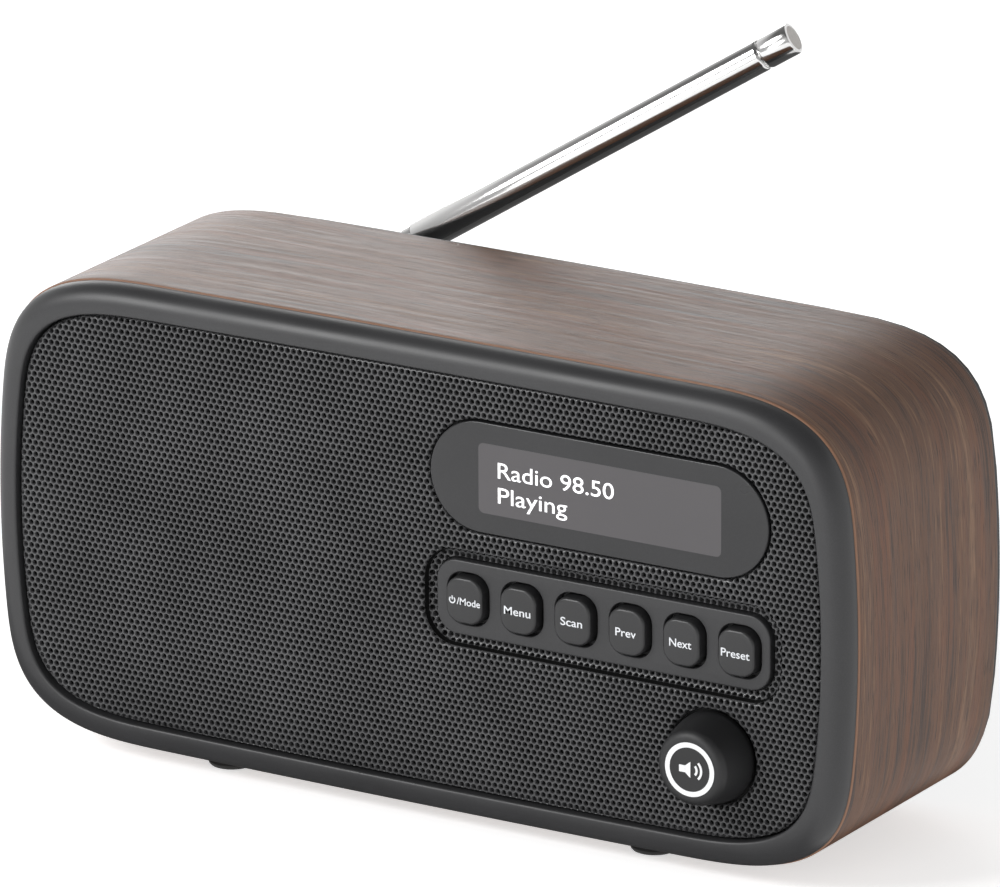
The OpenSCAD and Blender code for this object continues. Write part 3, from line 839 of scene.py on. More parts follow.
@dataclass(frozen=True)
class WalnutVeneer(Finish):
    """Satin walnut veneer whose grain runs round the cabinet.

    Args:
        deep: Darkest grain.
        middle: Usual colour.
        pale: Lightest bands.
        ruddy: Warm streaks.
        raw: Bare edge of the veneer.
        edge_depth: Depth in metres at which the bare front edge ends.
    """

    deep: Rgb = (0.02, 0.0085, 0.0048)
    middle: Rgb = (0.115, 0.052, 0.0255)
    pale: Rgb = (0.25, 0.138, 0.076)
    ruddy: Rgb = (0.18, 0.064, 0.026)
    raw: Rgb = (0.27, 0.145, 0.09)
    edge_depth: float = 0.0047

    def paint(self, bench: Bench) -> None:
        """Adds bands, streaks, pores and a raw front edge, all along the wrap.

        Args:
            bench: The tree to add to.
        """
        flow = bench.place(pattern=True)
        sway = bench.noise(bench.place((7, 22, 1), pattern=True), 1, 2)
        bent = bench.node("VectorMath", operation="ADD")
        lift = bench.node("CombineXYZ")
        bench.feed(lift, 1, bench.span(sway, 0, 1, -0.006, 0.006))
        bench.feed(bent, 0, flow)
        bench.feed(bent, 1, lift.outputs[0])
        grains = ((6, 110, 3), (22, 760, 4), (75, 3200, 3), (130, 3600, 2), (8, 210, 2))
        bands, streaks, fibres, pores, warm = (self.grain(bench, bent.outputs[0], *one) for one in grains)
        broad = (bench.maths("MULTIPLY", bands, 0.38), bench.maths("MULTIPLY", streaks, 0.36))
        tone = bench.maths("ADD", bench.maths("ADD", *broad), bench.maths("MULTIPLY", fibres, 0.26))
        stops = [(0.41, self.deep), (0.475, self.middle), (0.53, self.middle), (0.61, self.pale)]
        wood = bench.ramp(tone, stops)
        wood = bench.mix(bench.span(warm, 0.5, 0.64, 0, 0.5), wood, self.ruddy)
        pit = bench.span(pores, 0.56, 0.63)
        wood = bench.mix(bench.maths("MULTIPLY", pit, 0.7), wood, self.deep)
        split = bench.node("SeparateXYZ")
        bench.feed(split, 0, flow)
        edge = bench.span(split.outputs[1], self.edge_depth - 0.0003, self.edge_depth, 1, 0)
        relief = bench.maths("SUBTRACT", fibres, bench.maths("MULTIPLY", pit, 0.7))
        bench.set(
            Base_Color=bench.mix(edge, wood, self.raw),
            Roughness=bench.span(streaks, 0.3, 0.7, 0.38, 0.52),
            Specular_IOR_Level=0.36,
            Normal=bench.bump(relief, 0.000018),
        )

    @staticmethod
    def grain(
        bench: Bench, flow: Socket, along: float, across: float, detail: float
    ) -> Socket:
        """Noise drawn out along the wood's grain.

        Args:
            bench: Where the nodes go.
            flow: Coordinates that follow the grain.
            along: Waves per metre along it.
            across: Waves per metre across it.
            detail: Number of finer layers.

        Returns:
            The noise, between 0 and 1.
        """
        mapping = bench.node("Mapping")
        bench.feed(mapping, "Vector", flow)
        bench.feed(mapping, "Scale", (along, across, 1))
        return bench.noise(mapping.outputs[0], 1, detail, 0.6)


@dataclass(frozen=True)
class Woven(Finish):
    """Cloth or pressed fibre with a visible weave.

    Args:
        colour: Linear base colour.
        pitch: Distance between threads, in metres.
        rough: Roughness.
        depth: Height of the threads, in metres.
    """

    colour: Rgb
    pitch: float = 0.0006
    rough: float = 0.85
    depth: float = 0.00006

    def paint(self, bench: Bench) -> None:
        """Adds two crossed waves and some fluff.

        Args:
            bench: The tree to add to.
        """
        waves = []
        for turn in ((0, 45, 0), (0, -45, 0)):
            wave = bench.node("TexWave")
            bench.feed(wave, "Vector", bench.place(turn=turn))
            bench.feed(wave, "Scale", 0.314 / self.pitch)
            waves.append(wave.outputs["Fac"])
        weave = bench.maths("MULTIPLY", *waves)
        fluff = bench.noise(bench.place(), 1800, 3)
        thread = bench.maths("ADD", weave, bench.maths("MULTIPLY", fluff, 0.4))
        bench.set(
            Base_Color=bench.tint(thread, self.colour, 0.6, 1.25),
            Roughness=self.rough,
            Sheen_Weight=0.2,
            Normal=bench.bump(thread, self.depth),
        )


@dataclass(frozen=True)
class CircuitLaminate(Finish):
    """Green solder mask over copper tracks.

    Args:
        mask: Colour over bare laminate.
        track: Colour over copper.
    """

    mask: Rgb = (0.012, 0.085, 0.035)
    track: Rgb = (0.03, 0.19, 0.07)

    def paint(self, bench: Bench) -> None:
        """Adds square cells stand for tracks, and fine noise for the glass weave.

        Args:
            bench: The tree to add to.
        """
        cells = bench.node("TexVoronoi", distance="CHEBYCHEV", feature="F1")
        bench.feed(cells, "Vector", bench.place((260, 1, 420)))
        bench.feed(cells, "Scale", 1.0)
        track = bench.span(cells.outputs["Distance"], 0.28, 0.31)
        grain = bench.noise(bench.place(), 3200, 2)
        bench.set(
            Base_Color=bench.mix(track, self.track, self.mask),
            Roughness=bench.span(grain, 0.3, 0.7, 0.22, 0.34),
            Coat_Weight=0.4,
            Coat_Roughness=0.1,
            Normal=bench.bump(track, 0.00003, 0.6),
        )


@dataclass(frozen=True)
class ScreenGlass(Finish):
    """Softly lit display window behind smoked plastic.

    Args:
        colour: Linear base colour.
        glow: Strength of its own light.
    """

    colour: Rgb = (0.064, 0.059, 0.063)
    glow: float = 0.05

    def paint(self, bench: Bench) -> None:
        """Adds a fine dot lattice and a slow drift of light across the window.

        Args:
            bench: The tree to add to.
        """
        dots = bench.node("TexVoronoi", feature="F1")
        bench.feed(dots, "Vector", bench.place())
        bench.feed(dots, "Scale", 4200.0)
        drift = bench.noise(bench.place(), 18, 2)
        dot = bench.span(dots.outputs["Distance"], 0.1, 0.7, 1.05, 0.95)
        tint = bench.tint(bench.span(drift, 0.35, 0.65), self.colour, 0.94, 1.05)
        bench.set(
            Base_Color=tint,
            Roughness=bench.maths("MULTIPLY", dot, 0.32),
            Emission_Color=tint,
            Emission_Strength=self.glow,
            Coat_Weight=0.3,
            Coat_Roughness=0.12,
        )


@dataclass(frozen=True)
class PrintedInk(Finish):
    """Pad-printed or glowing characters.

    Args:
        colour: Linear base colour.
        glow: Strength of its own light.
    """

    colour: Rgb = (0.82, 0.84, 0.86)
    glow: float = 0.0

    def paint(self, bench: Bench) -> None:
        """Adds slightly uneven ink with a fine grain.

        Args:
            bench: The tree to add to.
        """
        grain = bench.noise(bench.place(), 5200, 2)
        tint = bench.tint(bench.span(grain, 0.3, 0.7), self.colour, 0.93, 1.0)
        bench.set(
            Base_Color=tint,
            Roughness=0.5,
            Emission_Color=tint,
            Emission_Strength=self.glow,
            Normal=bench.bump(grain, 0.000004),
        )


@dataclass(frozen=True)
class CellSleeve(Finish):
    """Printed sleeve of a round cell, dark with a warm band.

    Args:
        band: Colour of the band.
        body: Colour of the rest.
        middle: X of the cells' middle, in metres.
    """

    band: Rgb = (0.5, 0.19, 0.05)
    body: Rgb = (0.03, 0.03, 0.034)
    middle: float = -0.05

    def paint(self, bench: Bench) -> None:
        """Adds a band past a fixed distance from the middle, under a clear film.

        Args:
            bench: The tree to add to.
        """
        split = bench.node("SeparateXYZ")
        bench.feed(split, 0, bench.place())
        band = bench.span(split.outputs[0], self.middle + 0.010, self.middle + 0.0103)
        film = bench.noise(bench.place(), 240, 3)
        bench.set(
            Base_Color=bench.mix(band, self.body, self.band),
            Roughness=bench.span(film, 0.3, 0.7, 0.18, 0.3),
            Metallic=0.35,
            Coat_Weight=0.6,
            Coat_Roughness=0.06,
            Normal=bench.bump(film, 0.00002, 0.4),
        )


SLOT_FINISHES: dict[str, Finish] = {
    "cabinet_board": Woven((0.11, 0.075, 0.05), 0.0012, 0.8, 0.00003),
    "walnut": WalnutVeneer(),
    "bezel_plastic": MouldedPlastic((0.03, 0.03, 0.0315), 0.42, 0.00032, 0.000011),
    "inner_plastic": MouldedPlastic((0.012, 0.012, 0.0125), 0.6),
    "grille_metal": SheetPaint((0.07, 0.07, 0.0725), 0.31),
    "scrim_cloth": Woven((0.004, 0.004, 0.004), 0.0004, 0.95),
    "lens_plastic": MouldedPlastic((0.0185, 0.0185, 0.0198), 0.3, 0.0005, 0.000002),
    "display_glass": ScreenGlass(),
    "ribbon_film": MouldedPlastic((0.42, 0.2, 0.05), 0.3),
    "panel_plastic": MouldedPlastic((0.026, 0.026, 0.0275), 0.4, 0.0003, 0.000009),
    "button_plastic": MouldedPlastic((0.021, 0.021, 0.022), 0.36, 0.00028, 0.000008),
    "board_laminate": CircuitLaminate(),
    "part_plastic": MouldedPlastic((0.014, 0.014, 0.015), 0.5),
    "bright_steel": BareMetal((0.62, 0.63, 0.65), 0.24),
    "nylon": MouldedPlastic((0.62, 0.61, 0.56), 0.5, specular=0.4),
    "knob_rubber": MouldedPlastic((0.013, 0.013, 0.0138), 0.5, 0.00026, 0.000009),
    "can_metal": BareMetal((0.58, 0.59, 0.61), 0.34, (2400, 2400, 60)),
    "capacitor_sleeve": MouldedPlastic((0.02, 0.045, 0.13), 0.28, coat=0.4),
    "frame_metal": SheetPaint((0.018, 0.018, 0.019), 0.42),
    "ferrite": MouldedPlastic((0.03, 0.03, 0.033), 0.62, 0.0006, 0.00003),
    "coil_copper": BareMetal((0.72, 0.33, 0.13), 0.25, (60, 6000, 60)),
    "spider_cloth": Woven((0.48, 0.28, 0.08), 0.0007),
    "cone_paper": Woven((0.012, 0.012, 0.0125), 0.0018, 0.8, 0.0001),
    "surround_rubber": MouldedPlastic((0.008, 0.008, 0.008), 0.46),
    "rear_plastic": MouldedPlastic((0.015, 0.015, 0.0158), 0.5, 0.0006, 0.00003),
    "black_steel": SheetPaint((0.025, 0.025, 0.027), 0.35, 0.5),
    "cell_wrap": CellSleeve(),
    "foot_rubber": MouldedPlastic((0.011, 0.011, 0.011), 0.62, 0.0004, 0.00002),
    "antenna_chrome": Chrome(),
}


class Paintbox:
    """Makes each slot's material once and lends it to every piece in that slot."""

    def __init__(self) -> None:
        """Reads which slot each node belongs to."""
        self.made: dict[str, bpy.types.Material] = {}
        self.slots = {s["node"]: s["material_slot"] for s in frame["record"]["subparts"]}

    def get(self, name: str, finish: Finish | None = None) -> bpy.types.Material:
        """The material for a slot, or for a named finish of its own.

        Args:
            name: Slot, or name of the finish.
            finish: The finish, in place of the slot's.

        Returns:
            The material.
        """
        if name not in self.made:
            self.made[name] = (finish or SLOT_FINISHES[name]).material(name)
        return self.made[name]

    def dress(self, piece: bpy.types.Object, name: str, finish: Finish | None = None) -> None:
        """Puts one material on a whole piece.

        Args:
            piece: The piece.
            name: Slot, or name of the finish.
            finish: The finish, in place of the slot's.
        """
        piece.data.materials.clear()
        piece.data.materials.append(self.get(name, finish))

    def dress_frame(self) -> int:
        """Gives every node of the frame its slot's material.

        Returns:
            The number of nodes dressed.
        """
        for node, piece in frame["nodes"].items():
            material = self.get(self.slots[node])
            for holder in piece.material_slots:
                holder.material = material
            if not piece.material_slots:
                piece.data.materials.append(material)
        return len(frame["nodes"])


@dataclass
class SubAssembly:
    """A group of pieces made together, with the paints they use.

    Args:
        paints: Where the materials come from.
        pieces: The finished pieces.
    """

    paints: Paintbox
    pieces: list[bpy.types.Object] = field(default_factory=list)

    def seat(
        self,
        surface: Surface,
        name: str,
        body: str,
        slot: str,
        replaces: tuple[str, ...] = (),
        finish: Finish | None = None,
        sharp: float = 35.0,
    ) -> bpy.types.Object:
        """Builds a surface, dresses it and fixes it to a body.

        Args:
            surface: What to build.
            name: Name of the piece.
            body: Body it moves with.
            slot: Material slot it belongs to.
            replaces: Frame nodes it stands for.
            finish: Finish of its own, named after the piece, in place of the slot's.
            sharp: Angle in degrees above which an edge is shaded sharp.

        Returns:
            The piece.
        """
        piece = surface.build(name, sharp)
        self.fix(piece, body, slot, replaces, finish)
        return piece

    def fix(
        self,
        piece: bpy.types.Object,
        body: str,
        slot: str,
        replaces: tuple[str, ...] = (),
        finish: Finish | None = None,
    ) -> None:
        """Dresses a piece that is already in place and fixes it to a body.

        Args:
            piece: The piece.
            body: Body it moves with.
            slot: Material slot it belongs to.
            replaces: Frame nodes it stands for.
            finish: Finish of its own, in place of the slot's.
        """
        self.paints.dress(piece, slot if finish is None else piece.name + "_finish", finish)
        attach(piece, body)
        if replaces:
            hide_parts(*replaces)
        self.pieces.append(piece)

    def skin(
        self,
        rings: Array,
        name: str,
        body: str,
        slot: str,
        replaces: tuple[str, ...] = (),
        closed: bool = False,
        finish: Finish | None = None,
        sharp: float = 35.0,
    ) -> None:
        """Seats a piece that is one skin over a stack of rings.

        Args:
            rings: Points, by ring, by place on the ring.
            name: Name of the piece.
            body: Body it moves with.
            slot: Material slot it belongs to.
            replaces: Frame nodes it stands for.
            closed: Whether the last ring joins the first.
            finish: Finish of its own, in place of the slot's.
            sharp: Angle in degrees above which an edge is shaded sharp.
        """
        surface = Surface()
        surface.rings(rings, closed)
        self.seat(surface, name, body, slot, replaces, finish, sharp)

    def report(self) -> None:
        """Logs each piece with its size."""
        for piece in self.pieces:
            mesh = piece.data
            LOG.info("%s: %d points, %d faces", piece.name, len(mesh.vertices), len(mesh.polygons))


# ---------------------------------------------------------------- cabinet


@dataclass
class WoodCabinet(SubAssembly):
    """Veneer wrapped round the shell, with its bare edge showing in front.

    Args:
        front: Depth of the veneer's front edge.
        back: Depth of its rear edge.
        chamfer: Size of the front edge's slope.
        lap: How far the veneer's edges turn in.
        heel: Radius of the round at the rear edge.
        rows: Rings along the flat of the wrap.
    """

    front: float = 4.1
    back: float = 63.0
    chamfer: float = 0.45
    lap: float = 0.6
    heel: float = 0.3
    rows: int = 12

    def build(self, outline: CabinetOutline) -> None:
        """Carries the veneer's section once round the outline, with the pattern unrolled along it.

        Args:
            outline: The cabinet's outline.
        """
        depths = np.linspace(self.front + 2 * self.lap, self.back - self.lap, self.rows)
        section = [(self.lap, self.front), (self.chamfer, self.front)]
        section += arc(self.chamfer, self.front + self.chamfer, self.chamfer, 270, 180, 4)[1:]
        section += [(0, y) for y in depths]
        section += arc(self.heel, self.back - self.heel, self.heel, 180, 90, 4)
        section += [(self.lap, self.back)]
        rings = outline.rings(section)
        outer = rings[-len(depths)]
        step = np.linalg.norm(np.diff(np.vstack([outer, outer[:1]]), axis=0), axis=1)
        along = np.concatenate([[0], np.cumsum(step)])
        depth = np.array([y for _, y in section])
        uv = np.stack(np.broadcast_arrays(along[None], depth[:, None]), -1) * MM
        surface = Surface()
        surface.rings(rings, closed=True, uv=uv)
        self.seat(surface, "walnut_wrap", "cabinet", "walnut", ("veneer_wrap",))


@dataclass
class FrontBezel(SubAssembly):
    """Moulded surround that rolls from the veneer forwards to a ridge round the grille.

    Args:
        start: Inset of the roll's outer end from the veneer.
        roll: Width of the roll.
        ridge: Depth of the ridge, in front of the grille.
        width: Width of the whole band.
        back: Depth of its rear face.
        fullness: Exponent of the roll's curve, where 2 is a plain ellipse.
        inner: Radius of the round at the opening.
    """

    start: float = 0.3
    roll: float = 4.9
    ridge: float = -1.2
    width: float = 6.4
    back: float = 4.1
    fullness: float = 2.15
    inner: float = 0.6

    def build(self, outline: CabinetOutline) -> None:
        """Carries the roll, the ridge and the small inner round once along the outline.

        Args:
            outline: The cabinet's outline.
        """
        t = np.linspace(0, np.pi / 2, 15)
        inset = self.start + self.roll * (1 - np.cos(t).clip(0) ** (2 / self.fullness))
        depth = self.back - (self.back - self.ridge) * np.sin(t) ** (2 / self.fullness)
        section = [tuple(p) for p in np.stack([inset, depth], -1)]
        section += arc(self.width - self.inner, self.ridge + self.inner, self.inner, 270, 360, 7)
        section += [(self.width, self.back)]
        rings = outline.rings(section)
        self.skin(rings, "bezel_band", "cabinet", "bezel_plastic", ("front_bezel",), closed=True, sharp=50)


class Sheet(Enum):
    """The two parts of the perforated sheet."""

    FACE = "face"
    FLOOR = "floor"


@dataclass
class PerforatedGrille(SubAssembly):
    """Punched sheet with staggered round holes, sunk round the buttons and turned in at its edges.

    Args:
        pitch: Distance between neighbouring holes.
        hole: Radius of a hole.
        thick: Thickness of the sheet.
        soften: Size of the slope at a hole's front edge.
        first: X and Z of one hole.
        rim: Inset of the sheet's edge from the cabinet's outline.
        trough: Half width, half height and corner radius of the rim round the sunk part.
        floor: The same where the sunk sheet ends.
        step: Width of the steep wall inside the rim.
        sink: Depth of the sunk part.
        turn_in: How far back the sheet turns at its edges.
        turn_reach: Distance from an edge over which it turns.
        foot_rise: Rise of the sunk sheet at the foot of the wall.
        foot_reach: Distance from the wall over which it rises.
        lens_gap: Gap round the display window.
        knob_hole: Radius of the opening for the knob.
        cuts: X at which the sheet is split into pieces.
    """

    pitch: float = 1.5
    hole: float = 0.555
    thick: float = 0.8
    soften: float = 0.15
    first: Spot = (-41.42, 53.06)
    rim: float = 6.88
    trough: Triple = (43.6, 10.8, 7.4)
    floor: Triple = (41.2, 8.7, 5.4)
    step: float = 0.42
    sink: float = 2.2
    turn_in: float = 0.6
    turn_reach: float = 0.9
    foot_rise: float = 0.6
    foot_reach: float = 1.2
    lens_gap: float = 0.4
    knob_hole: float = 10.6
    cuts: tuple[float, ...] = (-200.0, -52.0, 0.0, 52.0, 200.0)

    def centres(self, outline: CabinetOutline) -> Array:
        """Places of all holes within the outline's box, row by row, every other row half a pitch on.

        Args:
            outline: The cabinet's outline.

        Returns:
            X and Z of each hole.
        """
        rise = self.pitch * np.sqrt(3) / 2
        rows = np.arange(-60, 61)
        columns = np.arange(-60, 130)
        x = self.first[0] + self.pitch * (columns[None] + 0.5 * (rows[:, None] % 2))
        z = self.first[1] + rise * np.broadcast_to(rows[:, None], x.shape)
        spots = np.stack([x.ravel(), z.ravel()], -1)
        reach = np.abs(spots - [0, outline.middle])
        return spots[(reach < [outline.half_width, outline.half_height]).all(1)]

    @staticmethod
    def off_rect(points: Array, centre: Spot, size: Triple) -> tuple[Array, Array]:
        """Signed distance to a rounded rectangle, negative inside, and the way straight out of it.

        Args:
            points: X and Z of the points.
            centre: X and Z of the rectangle's middle.
            size: Half width, half height and corner radius.

        Returns:
            The distances, and the directions as vectors of length 1.
        """
        local = points - centre
        sign = np.where(local < 0, -1.0, 1.0)
        q = np.abs(local) - (np.array(size[:2]) - size[2])
        outside = np.maximum(q, 0)
        length = np.linalg.norm(outside, axis=-1)
        away = length + np.minimum(q.max(-1), 0) - size[2]
        flat = np.eye(2)[np.argmax(q, axis=-1)]
        way = np.where(length[..., None] > 1e-9, outside / np.maximum(length, 1e-9)[..., None], flat)
        return away, way * sign

    def edges(self, part: Sheet, points: Array, outline: CabinetOutline) -> list[tuple[Array, Array]]:
        """Distance to each edge of a part, positive on the sheet, and the way back onto the sheet.

        Args:
            part: Which part of the sheet.
            points: X and Z of the points.
            outline: The cabinet's outline.

        Returns:
            A distance and a direction for each edge.
        """
        off, way = self.off_rect(points, NodeBox.of("button_panel").centre, self.trough)
        if part is Sheet.FLOOR:
            panel = self.off_rect(points, NodeBox.of("button_panel").centre, self.floor)
            return [(-off - self.step, -way), panel]
        angle, reach, square = outline.edge(self.rim)
        local = points - [0, outline.middle]
        own = np.linalg.norm(local, axis=-1)
        at = np.arctan2(local[..., 1], local[..., 0])
        limit = np.interp(at, angle, reach, period=2 * np.pi)
        tilt = np.interp(at, angle, square, period=2 * np.pi)
        inward = -local / np.maximum(own, 1e-9)[..., None] / tilt[..., None]
        span = points - NodeBox.of("volume_knob").centre
        radius = np.linalg.norm(span, axis=-1)
        lens = NodeBox.of("display_lens")
        lens_w, lens_h = (size + self.lens_gap for size in lens.half)
        return [
            ((limit - own) * tilt, inward),
            self.off_rect(points, lens.centre, (lens_w, lens_h, lens_h)),
            (off, way),
            (radius - self.knob_hole, span / np.maximum(radius, 1e-9)[..., None]),
        ]

    def sag(self, part: Sheet, points: Array, outline: CabinetOutline) -> Array:
        """Depth of a part of the sheet.

        The face turns back in a quarter round at each of its edges, and the floor rises a little at
        the foot of the wall.

        Args:
            part: Which part of the sheet.
            points: X and Z of the points.
            outline: The cabinet's outline.

        Returns:
            A depth for each point.
        """
        apart = [away for away, _ in self.edges(part, points, outline)]
        if part is Sheet.FLOOR:
            return self.sink - self.foot_rise * np.clip(1 - apart[0] / self.foot_reach, 0, 1) ** 2
        depth = np.zeros(points.shape[:-1])
        for away in apart:
            near = np.clip(1 - away / self.turn_reach, 0, 0.999)
            depth = depth + self.turn_in * (1 - np.sqrt(1 - near**2))
        return depth

    def build(self, outline: CabinetOutline) -> None:
        """Makes every cell of the lattice at once: a hexagon with a softened round hole through it.

        A cell has six outer corners and twelve points round its hole in front, and six of each
        behind. Points past an edge of the sheet are drawn back to it, and cells wholly past it go.

        Args:
            outline: The cabinet's outline.
        """
        spots = self.centres(outline)
        six = np.radians(np.arange(6) * 60 + 30)
        twelve = np.radians(np.arange(12) * 30 + 30)
        corner = np.stack([np.cos(six), np.sin(six)], -1) * self.pitch / np.sqrt(3)
        unit = np.stack([np.cos(twelve), np.sin(twelve)], -1)
        layers = [
            (corner, 0.0),
            (unit * (self.hole + self.soften * 0.8), 0.0),
            (unit * self.hole, self.soften),
            (unit[::2] * self.hole, self.thick),
            (corner, self.thick),
        ]
        shape = np.concatenate([p for p, _ in layers])
        level = np.concatenate([np.full(len(p), y) for p, y in layers])
        parts = [self.cells(part, spots, shape, level, outline) for part in Sheet]
        solid, spots = (np.concatenate(group) for group in zip(*parts))
        shells = self.cell_faces()
        names = ("left", "mid_left", "mid_right", "right")
        for name, low, high in zip(names, self.cuts[:-1], self.cuts[1:]):
            part = solid[(spots[:, 0] >= low) & (spots[:, 0] < high)]
            start = (np.arange(len(part)) * part.shape[1])[:, None, None]
            surface = Surface()
            surface.add(part.reshape(-1, 3), (shells[0][0][None] + start).reshape(-1, 3), closed=False)
            for faces, slot in shells[1:]:
                surface.extend((faces[None] + start).reshape(-1, faces.shape[1]), slot)
            stood_for = ("speaker_grille",)
            piece = self.seat(surface, "grille_" + name, "cabinet", "grille_metal", stood_for, sharp=52)
            # Painted shade: the walls of the holes and the sheet's back get a near-black copy of the grille paint,
            # standing for the shadow inside the holes.
            edge = SheetPaint((0.004, 0.004, 0.004), 0.7, specular=0.1)
            piece.data.materials.append(self.paints.get("punched_edge", edge))
        self.build_return(outline)

    def cells(
        self, part: Sheet, spots: Array, shape: Array, level: Array, outline: CabinetOutline
    ) -> tuple[Array, Array]:
        """Lays a cell on every hole of a part and draws its points back onto the sheet.

        Args:
            part: Which part of the sheet.
            spots: Middles of the holes.
            shape: X and Z of a cell's points from its middle.
            level: Depth of those points below the sheet's front.
            outline: The cabinet's outline.

        Returns:
            Points of the cells that stay, by cell, and the middles of those cells.
        """
        points = spots[:, None] + shape[None]
        keep = np.ones(len(spots), bool)
        for _ in range(2):
            for away, way in self.edges(part, points, outline):
                keep &= (away[:, :6] > 1e-6).any(1)
                points = points + way * np.maximum(-away, 0)[..., None]
        points = points[keep]
        depth = level[None] + self.sag(part, points, outline)
        return np.stack([points[..., 0], depth, points[..., 1]], -1), spots[keep]

    @staticmethod
    def cell_faces() -> list[tuple[Array, int]]:
        """Faces of one cell with their material slot: front, slope, wall of the hole, and what lies behind; slot
        1, on the wall and behind, holds a near-black painted shade.

        A cell's points are numbered 0-5 for the corners in front, 6-17 for the slope's outer ring,
        18-29 for the hole's front ring, 30-35 for its rear ring and 36-41 for the corners behind.
        """
        k, j = np.arange(6), np.arange(12)
        n, m, mn, jn = (k + 1) % 6, 2 * k, (2 * k + 2) % 12, (j + 1) % 12
        front = ([k, 6 + m, 7 + m], [k, 7 + m, n], [n, 7 + m, 6 + mn])
        wall = ([18 + m, 30 + k, 19 + m], [19 + m, 30 + k, 30 + n], [19 + m, 30 + n, 18 + mn])
        return [
            (np.concatenate([np.stack(t, -1) for t in front]), 0),
            (np.stack([6 + j, 18 + j, 18 + jn, 6 + jn], -1), 0),
            (np.concatenate([np.stack(t, -1) for t in wall]), 1),
            (np.stack([30 + k, 36 + k, 36 + n, 30 + n], -1), 1),
        ]

    def build_return(self, outline: CabinetOutline) -> None:
        """Adds the strip from the sheet's edge back to the baffle, and the wall round the sunk part, whose
        near-black paint is painted shade.

        Args:
            outline: The cabinet's outline.
        """
        section = [(self.rim, 0.7), (self.rim, 4.1), (self.rim + 0.7, 4.1), (self.rim + 0.7, 1.3)]
        self.skin(outline.rings(section), "grille_return", "cabinet", "grille_metal", closed=True)
        w, h, r = self.trough
        wall = ((0.0, 0.7), (-0.1, 1.2), (-self.step, self.sink - 0.3), (-self.step - 0.3, self.sink + 0.5))
        wall += ((0.1, self.sink + 0.5), (0.3, 1.2))
        ring = rounded_rings(NodeBox.of("button_panel").centre, [(w + g, h + g, r + g, y) for g, y in wall])
        # Painted shade: the wall is the same sheet as the grille, painted near black for the shadow in the step
        # down to the sunk part.
        dark = SheetPaint((0.005, 0.005, 0.005), 0.6, specular=0.15)
        self.skin(ring, "trough_wall", "cabinet", "grille_metal", closed=True, finish=dark)


# ---------------------------------------------------------------- lettering


@dataclass(frozen=True)
class Lettering:
    """Plain upright letters, made as thin solid shapes.

    Args:
        height: Height of a capital.
        weight: Extra thickness of the strokes, as a share of the letters' body.
        proud: How far the front of the letters stands off its surface.
        thick: Thickness of the letters.
    """

    height: float
    weight: float = 0.01
    proud: float = 0.03
    thick: float = 0.05

    def raw(self, text: str) -> bpy.types.Mesh:
        """A mesh of the text in its own flat coordinates, with its height along Y.

        Args:
            text: The characters.

        Returns:
            The mesh.
        """
        curve = bpy.data.curves.new("letters", "FONT")
        curve.body = text
        curve.offset = self.weight
        curve.resolution_u = 6
        curve.extrude = 0.01
        holder = put("letters", curve)
        ready = holder.evaluated_get(bpy.context.evaluated_depsgraph_get())
        mesh = bpy.data.meshes.new_from_object(ready)
        bpy.data.objects.remove(holder)
        bpy.data.curves.remove(curve)
        return mesh

    @staticmethod
    def points(mesh: bpy.types.Mesh) -> Array:
        """All points of a mesh.

        Args:
            mesh: The mesh.

        Returns:
            Its points.
        """
        flat = np.empty(len(mesh.vertices) * 3, np.float32)
        mesh.vertices.foreach_get("co", flat)
        return flat.reshape(-1, 3)

    def place(self, name: str, text: str, at: Array, width: float, anchor: float) -> bpy.types.Object:
        """Makes the text and stands it on a surface that faces forwards.

        Args:
            name: Name of the piece.
            text: The characters.
            at: X, depth of the surface and Z of the baseline.
            width: Width of the whole text.
            anchor: Share of the width that lies left of X.

        Returns:
            The piece, in place.
        """
        probe = self.raw("H")
        capital = np.ptp(self.points(probe)[:, 1])
        bpy.data.meshes.remove(probe)
        mesh = self.raw(text)
        mesh.name = name
        points = self.points(mesh)
        across = (points[:, 0] - points[:, 0].min()) / np.ptp(points[:, 0]) - anchor
        back = at[1] - self.proud + (points[:, 2] < 0) * self.thick
        up = points[:, 1] * self.height / capital
        placed = np.stack([at[0] + across * width, back + plane_y(), at[2] + up], -1)
        mesh.vertices.foreach_set("co", (placed * MM).astype(np.float32).ravel())
        mesh.update()
        return put(name, mesh)


# ---------------------------------------------------------------- controls


